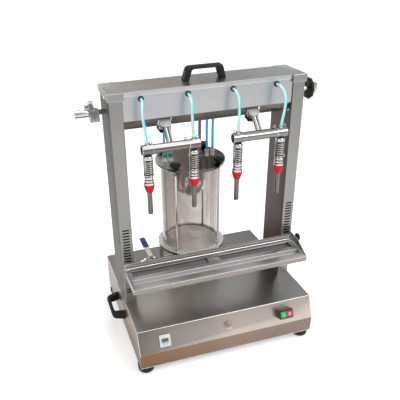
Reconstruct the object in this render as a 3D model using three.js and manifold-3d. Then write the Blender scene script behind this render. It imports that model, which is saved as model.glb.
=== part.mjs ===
// Tabletop vacuum filling machine with four spring-loaded filling nozzles.
// Millimetres, +Z up. X runs along the beam, -Y is the operator's side, z = 0 is the floor.
import * as THREE from 'three';
import { mergeVertices } from 'three/addons/utils/BufferGeometryUtils.js';
import Module from 'manifold-3d';

const wasm = await Module();
wasm.setup();

// driving sizes

// base housing: a folded sheet box whose front leans out to a fold
const baseWidth = 560;
const baseDepth = 446;
const baseHeight = 118;
const foldOut = 26.5;
const foldDrop = 67.5;
const toeIn = 2.5;
const sheet = 2;
const basePlateThick = 2;
const ventLength = 60;
const ventHeight = 5;
const ventPitch = 12;
const ventCount = 5;

// feet
const footRadius = 25;
const footHeight = 25;
const footSoleRadius = 17;
const footSoleRise = 2.5;
const footFlareRadius = 22.3;
const footFromSide = 22;
const footFromFront = 28;
const footFromBack = 30;

// bridge handles
const handleSpan = 122;
const handleTopSpan = 100;
const handleRise = 39;
const handleBar = 10;
const handleLeg = 15;
const handleFootDepth = 26;
const handleBarDepth = 15;
const handleCorner = 8;
const topHandleBehindFront = 61;
const sideHandleBehindMiddle = 5;
const sideHandleDrop = 62;
const handleLegShare = 0.9;
const handleWaistShare = 0.6;
const handleTopShare = 0.7;

// posts
const postWidth = 37;
const postDepth = 122;
const postBehindFront = 145;
const postHeight = 655;
const postCorner = 3;
const slotWidth = 20;
const slotHeight = 4.6;
const slotPitch = 9.55;
const slotCount = 12;
const slotLowest = 154.5;
const lowSlotHeight = 44;
const lowSlotCount = 2;

// beam cover over the posts
const coverSkirt = 20;
const coverOverlap = 3;
const coverLip = 11;
const coverLipInset = 2;
const backPanelHeight = 92;

// beam front panel
const panelHeight = 75;
const panelFlange = 30;
const panelFlangeAngle = 30;
const panelEndGap = 0.3;
const armNotchSide = 3;
const armNotchTop = 3;

// tube grommets in the front panel
const tubeRadius = 4;
const tubeClearance = 0.5;
const grommetNeck = 6.6;
const grommetRim = 7.8;
const grommetRimThick = 2;
const grommetDrop = 19;
const grommetStripHeight = 22;
const grommetStripOver = 20;

// nozzle shaft, lever clamp and locking end
const shaftRadius = 7;
const shaftBehindPostFront = 53;
const shaftBelowPostTop = 55;
const shaftLeftReach = 83;
const shaftRightReach = 65;
const runningGap = 0.3;
const gripRadius = 10.5;
const gripLength = 38;
const gripEase = 1.5;
const leverGap = 1;
const leverPlateThick = 12;
const leverPlateWidth = 25;
const leverPlateRise = 31;
const leverBlockLength = 25;
const leverBlockDrop = 23;
const leverBlockDepth = 26;
const leverSlit = 3;
const leverScrewRadius = 5;
const leverScrewReach = 11;
const leverScrewRise = 17;
const lockDiscRadius = 31;
const lockDiscThick = 8;
const lockDiscFromPost = 38.5;
const lockLobes = 10;
const lockLobeRadius = 5;
const stopLength = 18;
const stopHeight = 29;
const stopDepth = 26;
const stopScrewRadius = 6;
const stopScrewHead = 3;

// arms that hang the nozzle bars from the shaft
const armFromBarMiddle = 1;
const armAngle = 44;
const armHubWidth = 28;
const armHubSide = 30;
const armRodRadius = 6.5;
const armThreadRadius = 3;
const armThreadOffset = 10;
const armBlockWidth = 32;
const armBlockLength = 35;
const armBlockDepth = 19;
const armBlockEase = 7;
const armBlockFromShaft = 53;
const armKnobFromShaft = 57;
const armKnobRadius = 18.8;
const armKnobThick = 10;
const armKnobStand = 1.5;
const armKnobStem = 5;
const armKnobLobes = 7;
const armKnobLobeRadius = 5;

// nozzle bars
const nozzleFromPost = 49.5;
const nozzleFromPostFront = 39;
const nozzleFromShaft = 94;
const barSide = 22;
const barOverhang = 16;
const barSleeveOver = 1;
const barSleeveLength = 30;
const barClampWidth = 20;
const barClampDepth = 9;
const barClampSaddle = 5;
const barClampDrop = 5;
const eyeRadius = 5;
const eyeThick = 5;
const eyeStem = 2;
const eyeFromNozzle = 13;

// needles, springs, spring seats and cones
const needleRadius = 7;
const needleBore = 5.4;
const needleBelowBar = 171;
const headRadius = 6.5;
const headRise = 9;
const topNutAcross = 22;
const topNutHeight = 10;
const springRadius = 12.2;
const springWire = 1.3;
const springLength = 42;
const springCurls = 8;
const springSteps = 8;
const springSides = 5;
const seatWasherRadius = 14;
const seatWasherThick = 3;
const seatNutAcross = 23;
const seatNutHeight = 11;
const seatCollarRadius = 12;
const seatCollarHeight = 9;
const seatRingRadius = 14;
const seatRingHeight = 6;
const coneTopRadius = 15.2;
const coneTipRadius = 8.2;
const coneHeight = 25;
const coneLip = 3;
const coneSwell = 14.2;
const coneSwellShare = 0.62;
const slideClearance = 0.4;

// air tubes: how far in they start, and each one's free points as its bow across,
// then the shares of its way out from the panel and of its way down to the nozzle head
const tubeInside = 12;
const tubeLead = 4;
const tubeSteps = 11;
const airTubeWays = [
  [[-2.5, 0.52, 0.035], [-6.5, 0.83, 0.15], [-7.5, 0.95, 0.36], [-4.5, 0.99, 0.62], [-1.5, 1, 0.86]],
  [[-1.5, 0.52, 0.035], [-3, 0.83, 0.15], [-3.5, 0.96, 0.36], [-3, 1, 0.62], [-1.5, 1, 0.86]],
  [[0, 0.52, 0.035], [1, 0.83, 0.15], [1, 0.96, 0.36], [0.5, 1, 0.62], [0, 1, 0.86]],
  [[1.5, 0.52, 0.02], [4.5, 0.9, 0.12], [6, 1.08, 0.31], [4.5, 1.1, 0.52], [1.5, 1.04, 0.78]],
];

// vacuum vessel
const vesselBehindMiddle = 108;
const vesselLift = 74;
const flangeRadius = 112;
const flangeThick = 10;
const glassRadius = 96;
const glassWall = 5;
const glassHeight = 287;
const rodCircle = 101;
const rodRadius = 3.5;
const legRadius = 6.5;
const legCircle = 107;
const lidThick = 10;
const lidKnobRadius = 17;
const lidKnobHeight = 13;
const lidKnobNeckRadius = 10;
const lidKnobNeck = 5;
const lidStudHeight = 13;
const lidKnobDomeShares = [0.8, 0.4];
const lidKnobShoulderShares = [0.4, 0.15];
const floatRadius = 48;
const floatBelowLid = 60;
const floatStemRadius = 5;
const floatTravel = 5;
const floatStemHold = 2.5;
const fittingRadius = 6;
const fittingRise = 14;
const fittingCollarRadius = 7;
const fittingCollar = 5;
const leftFittingAcross = 76.5;
const rightFittingAcross = 63.5;
const fittingForward = 9;
const fittingPair = 19.5;
const elbowAcross = 4;
const elbowForward = 22;
const elbowRise = 13;
const elbowLength = 20;
const elbowRadius = 5;
const hoseRadius = 5;
const hoseFittingAcross = 30;
const hoseFittingBack = 9;
const riserStraight = 90;
const riserTurn = 34;
const riserRise = 14;
const riserGap = 5;
const riserSteps = 9;

// drain valve
const drainPipeRadius = 8;
const drainAcross = 70;
const drainForward = 44;
const drainDrop = 26;
const valveFromDrain = 88;
const valveBallRadius = 15;
const valveLength = 44;
const valveHexAcross = 26;
const valveHexLength = 11;
const valveOutlet = 12;
const valveStemRadius = 5;
const valveStemRise = 24;
const valveLeverLength = 112;
const valveLeverWidth = 15;
const valveLeverThick = 3;
const valveGripWidth = 20;
const valveGripThick = 10;
const valveGripStart = 50;
const valveNutAcross = 13;
const valveNutHeight = 5;

// bottle shelf
const shelfFromSide = 6;
const shelfHeight = 127;
const shelfDepth = 115;
const shelfSheet = 2;
const shelfFlange = 16;
const shelfLedge = 15;
const shelfLedgeRise = 10;
const shelfUpstand = 8;
const shelfWindowBack = 3;
const shelfWindowDepth = 29;
const shelfWindowFromEnd = 14;
const shelfWindowBridge = 38;
const shelfSlotFromFront = 26;
const shelfSlotDepth = 24;
const shelfSlotFromEnd = 8;
const shelfTroughDepth = 13;
const shelfTrayDrop = 12;
const endPlateRise = 29;
const endPlateShoulder = 60;
const endPlateTopRise = 26;
const shelfKnobRadius = 13;
const shelfKnobThick = 10;
const shelfKnobStud = 3;
const shelfKnobReach = 6;
const shelfKnobForward = 13;
const shelfKnobBelowTop = 10;
const shelfKnobLobes = 8;
const shelfKnobLobeRadius = 3;

// controls on the leaning front
const gaugeFromSide = 79;
const gaugeDown = 39;
const gaugeWidth = 33;
const gaugeHeight = 36;
const gaugeStand = 6;
const gaugeRim = 4;
const gaugeScreenDepth = 1.5;
const gaugeBody = 20;
const gaugeBodyInset = 3;
const portDown = 38;
const portHexAcross = 22;
const portHexThick = 4;
const portKnobRadius = 9;
const portKnobLength = 10;
const portKnobFlutes = 8;
const portKnobFlute = 1.5;
const portStemRadius = 4;
const switchFromSide = 96.5;
const switchDown = 35.5;
const switchWidth = 44.5;
const switchHeight = 28;
const switchStand = 24;
const switchWall = 3;
const switchCorner = 2;
const buttonWidth = 18.5;
const buttonHeight = 19;
const buttonGap = 1.6;
const buttonProud = 2;
const buttonDepth = 14;
const buttonTravel = 3;
const controlGap = 0.3;

// vacuum pump inside the base
const pumpFromSide = 170;
const pumpBack = 60;
const pumpWidth = 80;
const pumpDepth = 70;
const pumpHeight = 74;
const motorRadius = 34;
const motorLength = 120;
const pumpFootWidth = 60;
const pumpPortRadius = 6;
const pumpPortRise = 12;

// roundness and shared working values
const few = 8;
const coarse = 12;
const medium = 16;
const round = 24;
const fine = 40;
const overrun = 5;
const weld = 1e-4;
const degree = Math.PI / 180;
const quarter = Math.PI / 2;

// places worked out from the sizes

const floorOfHousing = footHeight + basePlateThick;
const baseTop = floorOfHousing + baseHeight;
const baseFront = -baseDepth / 2;
const baseSide = baseWidth / 2;
const frontLean = Math.atan2(foldOut, foldDrop);

const postFront = baseFront + postBehindFront;
const postBack = postFront + postDepth;
const postInside = baseSide - postWidth;
const postTop = baseTop + postHeight;
const beamTop = postTop + sheet;

const shaftY = postFront + shaftBehindPostFront;
const shaftZ = postTop - shaftBelowPostTop;
const shaftLeft = -baseSide - shaftLeftReach;
const shaftRight = baseSide + shaftRightReach;
const leverLeft = shaftLeft + gripLength + leverGap;

const nozzleY = postFront - nozzleFromPostFront;
const barMiddle = shaftZ - nozzleFromShaft;
const barBottom = barMiddle - barSide / 2;
const barTop = barMiddle + barSide / 2;
const nozzleShares = [-1.5, -0.5, 0.5, 1.5];
const nozzlePitch = (postInside - nozzleFromPost) / nozzleShares[3];
const nozzlePlaces = nozzleShares.map((share) => share * nozzlePitch);

const armReach = nozzlePitch + armFromBarMiddle;

const springTop = barBottom - topNutHeight;
const springBottom = springTop - springLength;
const seatBottom = springBottom - seatWasherThick - seatNutHeight - seatCollarHeight - seatRingHeight;
const coneBottom = seatBottom - coneHeight;

const panelFront = postFront + coverLipInset + sheet;
const grommetZ = postTop - grommetDrop;

const vesselY = vesselBehindMiddle;
const flangeTop = baseTop + vesselLift + flangeThick;
const lidBottom = flangeTop + glassHeight;
const lidTop = lidBottom + lidThick;

const shelfHalfWidth = baseSide - shelfFromSide;
const shelfBack = postFront;
const shelfFront = shelfBack - shelfDepth;
const shelfTop = baseTop + shelfHeight;
const shelfUnder = shelfTop - shelfSheet;
const ledgeTop = shelfTop + shelfLedgeRise;

const gaugeAcross = baseSide - gaugeFromSide;
const switchAcross = baseSide - switchFromSide;
const pumpAcross = baseSide - pumpFromSide;

// helpers

// one closed body from a three.js geometry, turned the right way out
function solid(geometry) {
  const bare = new THREE.BufferGeometry();
  const flat = geometry.index ? geometry.toNonIndexed() : geometry;
  bare.setAttribute('position', flat.getAttribute('position').clone());
  const merged = mergeVertices(bare, weld);
  const points = merged.attributes.position.array;
  const order = merged.index.array;
  const kept = [];
  let volume = 0;
  for (let i = 0; i < order.length; i += 3) {
    const [a, b, c] = [order[i], order[i + 1], order[i + 2]];
    if (a === b || b === c || c === a) continue;
    kept.push(a, b, c);
    const [p, q, r] = [a, b, c].map((n) => new THREE.Vector3().fromArray(points, 3 * n));
    volume += p.dot(q.cross(r));
  }
  if (volume < 0) kept.reverse();
  return new wasm.Manifold(new wasm.Mesh({
    numProp: 3,
    vertProperties: new Float32Array(points),
    triVerts: new Uint32Array(kept),
  }));
}

function join(...pieces) {
  return pieces.reduce((whole, piece) => whole.add(piece));
}

function cut(whole, ...tools) {
  return tools.reduce((left, tool) => left.subtract(tool), whole);
}

// a box between the low and high ends of each axis
function block(x, y, z) {
  const box = new THREE.BoxGeometry(x[1] - x[0], y[1] - y[0], z[1] - z[0]);
  box.translate((x[0] + x[1]) / 2, (y[0] + y[1]) / 2, (z[0] + z[1]) / 2);
  return solid(box);
}

function around(middle, size) {
  return [middle - size / 2, middle + size / 2];
}

function spread(middle, count, pitch) {
  return Array.from({ length: count }, (_, i) => middle + (i - (count - 1) / 2) * pitch);
}

// a round bar along one axis; the centre is given on the other two axes in X, Y, Z order
function bar(axis, radius, span, centre, sides = medium) {
  const rod = new THREE.CylinderGeometry(radius, radius, span[1] - span[0], sides);
  const middle = (span[0] + span[1]) / 2;
  if (axis === 'x') rod.rotateZ(quarter).translate(middle, centre[0], centre[1]);
  if (axis === 'y') rod.translate(centre[0], middle, centre[1]);
  if (axis === 'z') rod.rotateX(quarter).translate(centre[0], centre[1], middle);
  return solid(rod);
}

// a profile of [radius, height] pairs turned about a vertical axis
function turned(profile, x, y, z, sides = medium) {
  const lathe = new THREE.LatheGeometry(profile.map(([r, h]) => new THREE.Vector2(r, h)), sides);
  return solid(lathe.rotateX(quarter).translate(x, y, z));
}

// an outline of [across, up] pairs pushed out to a depth, lying in XY and rising in Z
function pushed(outline, depth, holes = []) {
  const shape = outline instanceof THREE.Shape ? outline : shapeOf(outline);
  shape.holes = holes.map((hole) => (hole instanceof THREE.Shape ? hole : shapeOf(hole)));
  return new THREE.ExtrudeGeometry(shape, { depth, bevelEnabled: false, curveSegments: 4 });
}

function shapeOf(points) {
  return new THREE.Shape(points.map(([a, b]) => new THREE.Vector2(a, b)));
}

// a profile of [y, z] pairs pushed along X from one place to another
function alongX(outline, span) {
  const push = pushed(outline, span[1] - span[0]);
  push.rotateX(quarter).rotateZ(quarter).translate(span[0], 0, 0);
  return solid(push);
}

// a rectangle with round corners, centred on the origin
function roundRect(width, height, corner) {
  const [w, h, r] = [width / 2, height / 2, corner];
  const shape = new THREE.Shape();
  shape.moveTo(-w + r, -h);
  shape.lineTo(w - r, -h).quadraticCurveTo(w, -h, w, -h + r);
  shape.lineTo(w, h - r).quadraticCurveTo(w, h, w - r, h);
  shape.lineTo(-w + r, h).quadraticCurveTo(-w, h, -w, h - r);
  shape.lineTo(-w, -h + r).quadraticCurveTo(-w, -h, -w + r, -h);
  return shape;
}

// a rectangle with its four corners cut off
function eased(width, height, ease) {
  const [w, h] = [width / 2, height / 2];
  return [[-w + ease, -h], [w - ease, -h], [w, -h + ease], [w, h - ease],
    [w - ease, h], [-w + ease, h], [-w, h - ease], [-w, -h + ease]];
}

// a disc with lobes round its rim, as on a hand knob
function lobed(radius, lobes, lobe) {
  const steps = lobes * 6;
  return shapeOf(Array.from({ length: steps }, (_, i) => {
    const turn = (i / steps) * 2 * Math.PI;
    const reach = radius - (lobe * (1 + Math.cos(lobes * turn))) / 4;
    return [reach * Math.cos(turn), reach * Math.sin(turn)];
  }));
}

// a hexagonal nut body; across is its width over the flats
function hexagon(across, x, y, span) {
  return bar('z', across / (2 * Math.cos(30 * degree)), span, [x, y], 6);
}

// a tube of one radius along a smooth path
function tube(points, radius, steps, sides = 10) {
  const path = new THREE.CatmullRomCurve3(points.map((p) => new THREE.Vector3(...p)), false, 'centripetal');
  const ring = shapeOf(Array.from({ length: sides }, (_, i) => {
    const turn = (i / sides) * 2 * Math.PI;
    return [radius * Math.cos(turn), radius * Math.sin(turn)];
  }));
  return solid(new THREE.ExtrudeGeometry(ring, { steps, bevelEnabled: false, extrudePath: path }));
}

// from the leaning front's own frame (x, up the slope, outwards) to the machine's
function onFront(piece, across, down) {
  const leant = piece.rotate([90 - frontLean / degree, 0, 0]);
  const drop = [-Math.sin(frontLean) * down, -Math.cos(frontLean) * down];
  return leant.translate([across, baseFront + drop[0], baseTop + drop[1]]);
}

// from an arm's own frame (x, forwards of the arm, down the arm as -z) to the machine's
function onArm(piece, across) {
  return piece.rotate([-armAngle, 0, 0]).translate([across, shaftY, shaftZ]);
}

const looks = {
  steel: { color: 0xb8b6b1, roughness: 0.35, metalness: 1 },
  bright: { color: 0xd2d2d0, roughness: 0.2, metalness: 1 },
  glass: { color: 0xdfe8ea, roughness: 0.05, metalness: 0, transparent: true, opacity: 0.35 },
  rubber: { color: 0x161616, roughness: 0.85, metalness: 0 },
  black: { color: 0x1b1b1d, roughness: 0.45, metalness: 0 },
  red: { color: 0xd8242f, roughness: 0.5, metalness: 0 },
  air: { color: 0x59dfe3, roughness: 0.35, metalness: 0 },
  blue: { color: 0x2bacd8, roughness: 0.35, metalness: 0 },
  navy: { color: 0x1d2258, roughness: 0.45, metalness: 0 },
  grey: { color: 0x85817f, roughness: 0.6, metalness: 0 },
  white: { color: 0xe6e8ea, roughness: 0.4, metalness: 0 },
  green: { color: 0x2fbf78, roughness: 0.35, metalness: 0 },
  stop: { color: 0xe0455f, roughness: 0.35, metalness: 0 },
  cast: { color: 0x5b6168, roughness: 0.6, metalness: 0.6 },
};

const machine = new THREE.Group();
machine.name = 'filling_machine';

function keep(name, piece, look) {
  const { numProp, vertProperties, triVerts } = piece.getMesh();
  const geometry = new THREE.BufferGeometry();
  const places = new Float32Array((vertProperties.length / numProp) * 3);
  for (let i = 0; i < places.length / 3; i++) {
    for (let axis = 0; axis < 3; axis++) places[3 * i + axis] = vertProperties[numProp * i + axis];
  }
  geometry.setAttribute('position', new THREE.BufferAttribute(places, 3));
  geometry.setIndex(new THREE.BufferAttribute(new Uint32Array(triVerts), 1));
  const mesh = new THREE.Mesh(geometry, new THREE.MeshStandardMaterial(looks[look]));
  mesh.name = name;
  machine.add(mesh);
}

// base

function housingOutline(inset) {
  const back = baseDepth / 2 - inset;
  const lowBack = floorOfHousing;
  const foldZ = baseTop - foldDrop;
  return [
    [back, lowBack],
    [back, baseTop - inset],
    [baseFront + inset, baseTop - inset],
    [baseFront - foldOut + inset, foldZ],
    [baseFront - foldOut + toeIn + inset, lowBack],
  ];
}

function baseHousing() {
  const inside = housingOutline(sheet);
  inside[0][1] -= overrun;
  inside[inside.length - 1][1] -= overrun;
  const shell = cut(
    alongX(housingOutline(0), [-baseSide, baseSide]),
    alongX(inside, [-baseSide + sheet, baseSide - sheet]),
  );
  const vents = spread(floorOfHousing + baseHeight / 2, ventCount, ventPitch).flatMap((z) =>
    [-1, 1].map((side) => block(
      around(side * ventLength, ventLength),
      [baseDepth / 2 - sheet - overrun, baseDepth / 2 + overrun],
      around(z, ventHeight),
    )));
  return cut(shell, ...vents, gaugeHole(), switchHole(), portHole());
}

function basePlate() {
  return block(
    [-baseSide, baseSide],
    [baseFront - foldOut + toeIn, baseDepth / 2],
    [footHeight, footHeight + basePlateThick],
  );
}

function foot(x, y) {
  const waist = footHeight / 2;
  return turned([
    [0, 0], [footSoleRadius, 0], [footFlareRadius, footSoleRise],
    [footRadius, waist], [footRadius, footHeight], [0, footHeight],
  ], x, y, 0, round);
}

// handles

// a black bridge handle standing on z = 0, its bar along X
function bridgeHandle() {
  const [s, t, r] = [handleSpan / 2, handleTopSpan / 2, handleCorner];
  const outer = new THREE.Shape();
  outer.moveTo(-s, 0);
  outer.lineTo(-t - r / 2, handleRise - r);
  outer.quadraticCurveTo(-t, handleRise, -t + r, handleRise);
  outer.lineTo(t - r, handleRise);
  outer.quadraticCurveTo(t, handleRise, t + r / 2, handleRise - r);
  outer.lineTo(s, 0);
  const inner = shapeOf([
    [-s + handleLeg, -overrun], [-s + handleLeg, 0],
    [-t + handleLeg * handleLegShare, handleRise - handleBar - r / 3],
    [-t + handleLeg + r / 2, handleRise - handleBar], [t - handleLeg - r / 2, handleRise - handleBar],
    [t - handleLeg * handleLegShare, handleRise - handleBar - r / 3],
    [s - handleLeg, 0], [s - handleLeg, -overrun],
  ]);
  const depth = handleFootDepth + 2 * overrun;
  const front = (shape) => solid(pushed(shape, depth).rotateX(quarter).translate(0, depth / 2, 0));
  const [f, b] = [handleFootDepth / 2, handleBarDepth / 2];
  const side = new THREE.Shape();
  side.moveTo(-f, 0);
  side.quadraticCurveTo(-f * handleLegShare, handleRise * handleWaistShare, -b, handleRise - handleBar / 3);
  side.lineTo(-b * handleTopShare, handleRise);
  side.lineTo(b * handleTopShare, handleRise);
  side.lineTo(b, handleRise - handleBar / 3);
  side.quadraticCurveTo(f * handleLegShare, handleRise * handleWaistShare, f, 0);
  return front(outer).subtract(front(inner)).intersect(alongX(side, [-s, s]));
}

// frame

function post(side) {
  const x = side * (baseSide - postWidth / 2);
  const y = postFront + postDepth / 2;
  const profile = (inset) => roundRect(postWidth - 2 * inset, postDepth - 2 * inset, postCorner);
  const rise = (inset, low, high) =>
    solid(pushed(profile(inset), high - low).translate(x, y, low));
  const shell = cut(rise(0, baseTop, postTop), rise(sheet, baseTop - overrun, postTop + overrun));
  const slot = (z) => block(
    around(x, slotWidth), [postFront - overrun, postFront + sheet + overrun], around(z, slotHeight));
  const rows = [
    ...Array.from({ length: slotCount }, (_, i) => baseTop + slotLowest + i * slotPitch),
    ...Array.from({ length: lowSlotCount }, (_, i) => baseTop + lowSlotHeight + i * slotPitch),
  ];
  const bore = bar('x', shaftRadius + runningGap, [x - postWidth, x + postWidth], [shaftY, shaftZ]);
  return cut(shell, ...rows.map(slot), bore);
}

function beamCover() {
  const end = baseSide + coverOverlap;
  const startOfEnd = postInside - coverOverlap;
  const [front, back] = [postFront - coverOverlap, postBack + coverOverlap];
  const [lipFront, lipBack] = [postFront + coverLipInset, postBack - coverLipInset];
  const cap = (low, high) => cut(
    block([low, high], [front, back], [beamTop - coverSkirt, beamTop]),
    block([low + sheet / 2, high - sheet / 2], [front + sheet / 2, back - sheet / 2],
      [beamTop - coverSkirt - overrun, beamTop - sheet]),
  );
  const middle = alongX([
    [lipFront, beamTop - coverLip], [lipFront + sheet, beamTop - coverLip],
    [lipFront + sheet, beamTop - sheet], [lipBack - sheet, beamTop - sheet],
    [lipBack - sheet, beamTop - backPanelHeight], [lipBack, beamTop - backPanelHeight],
    [lipBack, beamTop], [lipFront, beamTop],
  ], [-startOfEnd - sheet / 2, startOfEnd + sheet / 2]);
  const postRoom = (side) => block(
    side > 0 ? [postInside, baseSide] : [-baseSide, -postInside], [postFront, postBack],
    [beamTop - backPanelHeight - overrun, beamTop - sheet]);
  return cut(
    join(middle, cap(-end, -startOfEnd), cap(startOfEnd, end)), postRoom(-1), postRoom(1));
}

function beamFrontPanel() {
  const lean = panelFlangeAngle * degree;
  const bend = postTop - panelHeight;
  const reach = [Math.sin(lean) * panelFlange, Math.cos(lean) * panelFlange];
  const panel = alongX([
    [panelFront, postTop], [panelFront, bend], [panelFront + reach[0], bend - reach[1]],
    [panelFront + sheet + reach[0], bend - reach[1]], [panelFront + sheet, bend],
    [panelFront + sheet, postTop],
  ], [-postInside + panelEndGap, postInside - panelEndGap]);
  const holes = nozzlePlaces.map((x) =>
    bar('y', grommetNeck + controlGap, [panelFront - overrun, panelFront + overrun], [x, grommetZ]));
  const capEnd = postInside - coverOverlap - panelEndGap;
  const notches = [[-postInside, -capEnd], [capEnd, postInside]].map((x) =>
    block(x, [panelFront - overrun, panelFront + overrun],
      [beamTop - coverSkirt - panelEndGap, beamTop]));
  const armRoom = [-armReach, armReach].map((x) => block(around(x, armBlockWidth + 2 * armNotchSide),
    [panelFront - overrun, postFront + panelFlange], [bend - panelFlange - overrun, bend - armNotchTop]));
  return cut(panel, ...holes, ...notches, ...armRoom);
}

// the grommets are moulded on one rubber strip behind the panel
function grommetStrip() {
  const behind = panelFront + sheet;
  const strip = block(
    [nozzlePlaces[0] - grommetStripOver, nozzlePlaces[3] + grommetStripOver],
    [behind, behind + sheet], around(grommetZ, grommetStripHeight));
  const rims = nozzlePlaces.flatMap((x) => [
    bar('y', grommetNeck, [panelFront - grommetRimThick, behind + sheet], [x, grommetZ], coarse),
    bar('y', grommetRim, [panelFront - grommetRimThick, panelFront], [x, grommetZ]),
  ]);
  const bores = nozzlePlaces.map((x) =>
    bar('y', tubeRadius + tubeClearance, [panelFront - overrun, behind + overrun], [x, grommetZ], coarse));
  return cut(join(strip, ...rims), ...bores);
}

// nozzle shaft and what it carries

function shaftRod() {
  return bar('x', shaftRadius, [shaftLeft, shaftRight], [shaftY, shaftZ]);
}

function nozzleShaft() {
  const grip = solid(new THREE.LatheGeometry([
    new THREE.Vector2(0, 0), new THREE.Vector2(gripRadius - gripEase, 0),
    new THREE.Vector2(gripRadius, gripEase), new THREE.Vector2(gripRadius, gripLength - gripEase),
    new THREE.Vector2(gripRadius - gripEase, gripLength), new THREE.Vector2(0, gripLength),
  ], medium).rotateZ(-quarter).translate(shaftLeft, shaftY, shaftZ));
  const blockEnd = shaftRight;
  const stop = block(
    [blockEnd - stopLength, blockEnd], around(shaftY, stopDepth), around(shaftZ, stopHeight));
  const head = bar('y', stopScrewRadius,
    [shaftY - stopDepth / 2 - stopScrewHead, shaftY], [blockEnd - stopLength / 2, shaftZ], coarse);
  return join(shaftRod(), grip, stop, head);
}

// split clamp with an upright rounded ear, locked by a small thumb screw
function shaftLever() {
  const ear = new THREE.Shape();
  const [w, top] = [leverPlateWidth / 2, leverPlateRise - leverPlateWidth / 2];
  ear.moveTo(-w, -leverBlockDrop / 2).lineTo(w, -leverBlockDrop / 2).lineTo(w, top);
  ear.absarc(0, top, w, 0, Math.PI, false);
  const plate = alongX(ear, [leverLeft, leverLeft + leverPlateThick]).translate([0, shaftY, shaftZ]);
  const low = shaftZ - leverBlockDrop;
  const clamp = block([leverLeft, leverLeft + leverBlockLength], around(shaftY, leverBlockDepth),
    [low, shaftZ + shaftRadius + sheet]);
  const slit = block([leverLeft - overrun, leverLeft + leverBlockLength + overrun],
    around(shaftY, leverSlit), [low - overrun, shaftZ]);
  const screw = bar('x', leverScrewRadius, [leverLeft - leverScrewReach, leverLeft],
    [shaftY, shaftZ + leverScrewRise], coarse);
  const bolt = bar('y', leverScrewRadius, around(shaftY, leverBlockDepth + 2 * stopScrewHead),
    [leverLeft + leverBlockLength / 2, low + leverScrewRadius + sheet], coarse);
  return cut(join(cut(join(plate, clamp), slit), screw, bolt), shaftRod());
}

function lockDisc() {
  const start = baseSide + lockDiscFromPost;
  const disc = solid(pushed(lobed(lockDiscRadius, lockLobes, lockLobeRadius), lockDiscThick)
    .rotateY(quarter).translate(start, shaftY, shaftZ));
  const bore = bar('x', shaftRadius + runningGap, [start - overrun, start + lockDiscThick + overrun],
    [shaftY, shaftZ]);
  return cut(disc, bore);
}

// round tube along one pair of nozzles, wider where a sleeve covers it
function barTube(over, span) {
  return bar('x', barSide / 2 + over, span, [nozzleY, barMiddle]);
}

// hub on the shaft, bright rod, threaded rod, clamp block and the clamp behind the nozzle bar
function arm(side) {
  const x = side * armReach;
  const hub = block(around(0, armHubWidth), around(0, armHubSide), around(0, armHubSide));
  const reach = nozzleFromShaft / Math.cos(armAngle * degree);
  const rod = bar('z', armRodRadius, [-reach, 0], [0, 0]);
  const thread = bar('z', armThreadRadius, [-reach, -armBlockFromShaft], [armThreadOffset, 0], coarse);
  const grip = solid(pushed(eased(armBlockWidth, armBlockLength, armBlockEase), armBlockDepth)
    .rotateX(quarter).translate(0, armBlockDepth / 2, -armBlockFromShaft));
  const clamp = block(around(x, barClampWidth),
    [nozzleY + barClampSaddle, nozzleY + barSide / 2 + barClampDepth],
    [barBottom, barTop - barClampDrop]);
  const hung = onArm(join(hub, rod, thread, grip), x);
  return cut(join(hung, clamp), shaftRod(), barTube(0, around(x, baseWidth)));
}

// star knob behind the arm's clamp block, on a stem that screws into it
function armKnob(side) {
  const back = armBlockDepth / 2;
  const face = pushed(lobed(armKnobRadius, armKnobLobes, armKnobLobeRadius), armKnobThick)
    .rotateX(-quarter).translate(0, back + armKnobStand, -armKnobFromShaft);
  const stem = bar('y', armKnobStem, [back, back + armKnobStand + sheet], [0, -armKnobFromShaft], coarse);
  return onArm(join(solid(face), stem), side * armReach);
}

// round bar with plugged ends, nozzle sleeves, eye screws and its two needles
function nozzleBar(places, eyes) {
  const [low, high] = [places[0] - barOverhang, places[1] + barOverhang];
  const pieces = [barTube(0, [low, high])];
  pieces.push(barTube(barSleeveOver, [low, low + barSleeveLength]));
  pieces.push(barTube(barSleeveOver, [high - barSleeveLength, high]));
  for (const x of places) {
    pieces.push(bar('z', needleRadius, [barBottom - needleBelowBar, barMiddle], [x, nozzleY]));
    pieces.push(bar('z', headRadius, [barMiddle, barTop + headRise], [x, nozzleY], coarse));
    pieces.push(hexagon(topNutAcross, x, nozzleY, [springTop, barMiddle]));
  }
  for (const x of eyes) {
    pieces.push(bar('z', eyeStem, [barMiddle, barTop + eyeRadius], [x, nozzleY], few));
    pieces.push(bar('y', eyeRadius, around(nozzleY, eyeThick), [x, barTop + eyeRadius + sheet], coarse));
  }
  const tip = barBottom - needleBelowBar;
  const bores = places.map((x) =>
    bar('z', needleBore, [tip - overrun, tip + springLength], [x, nozzleY], coarse));
  return cut(join(...pieces), ...bores);
}

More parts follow.
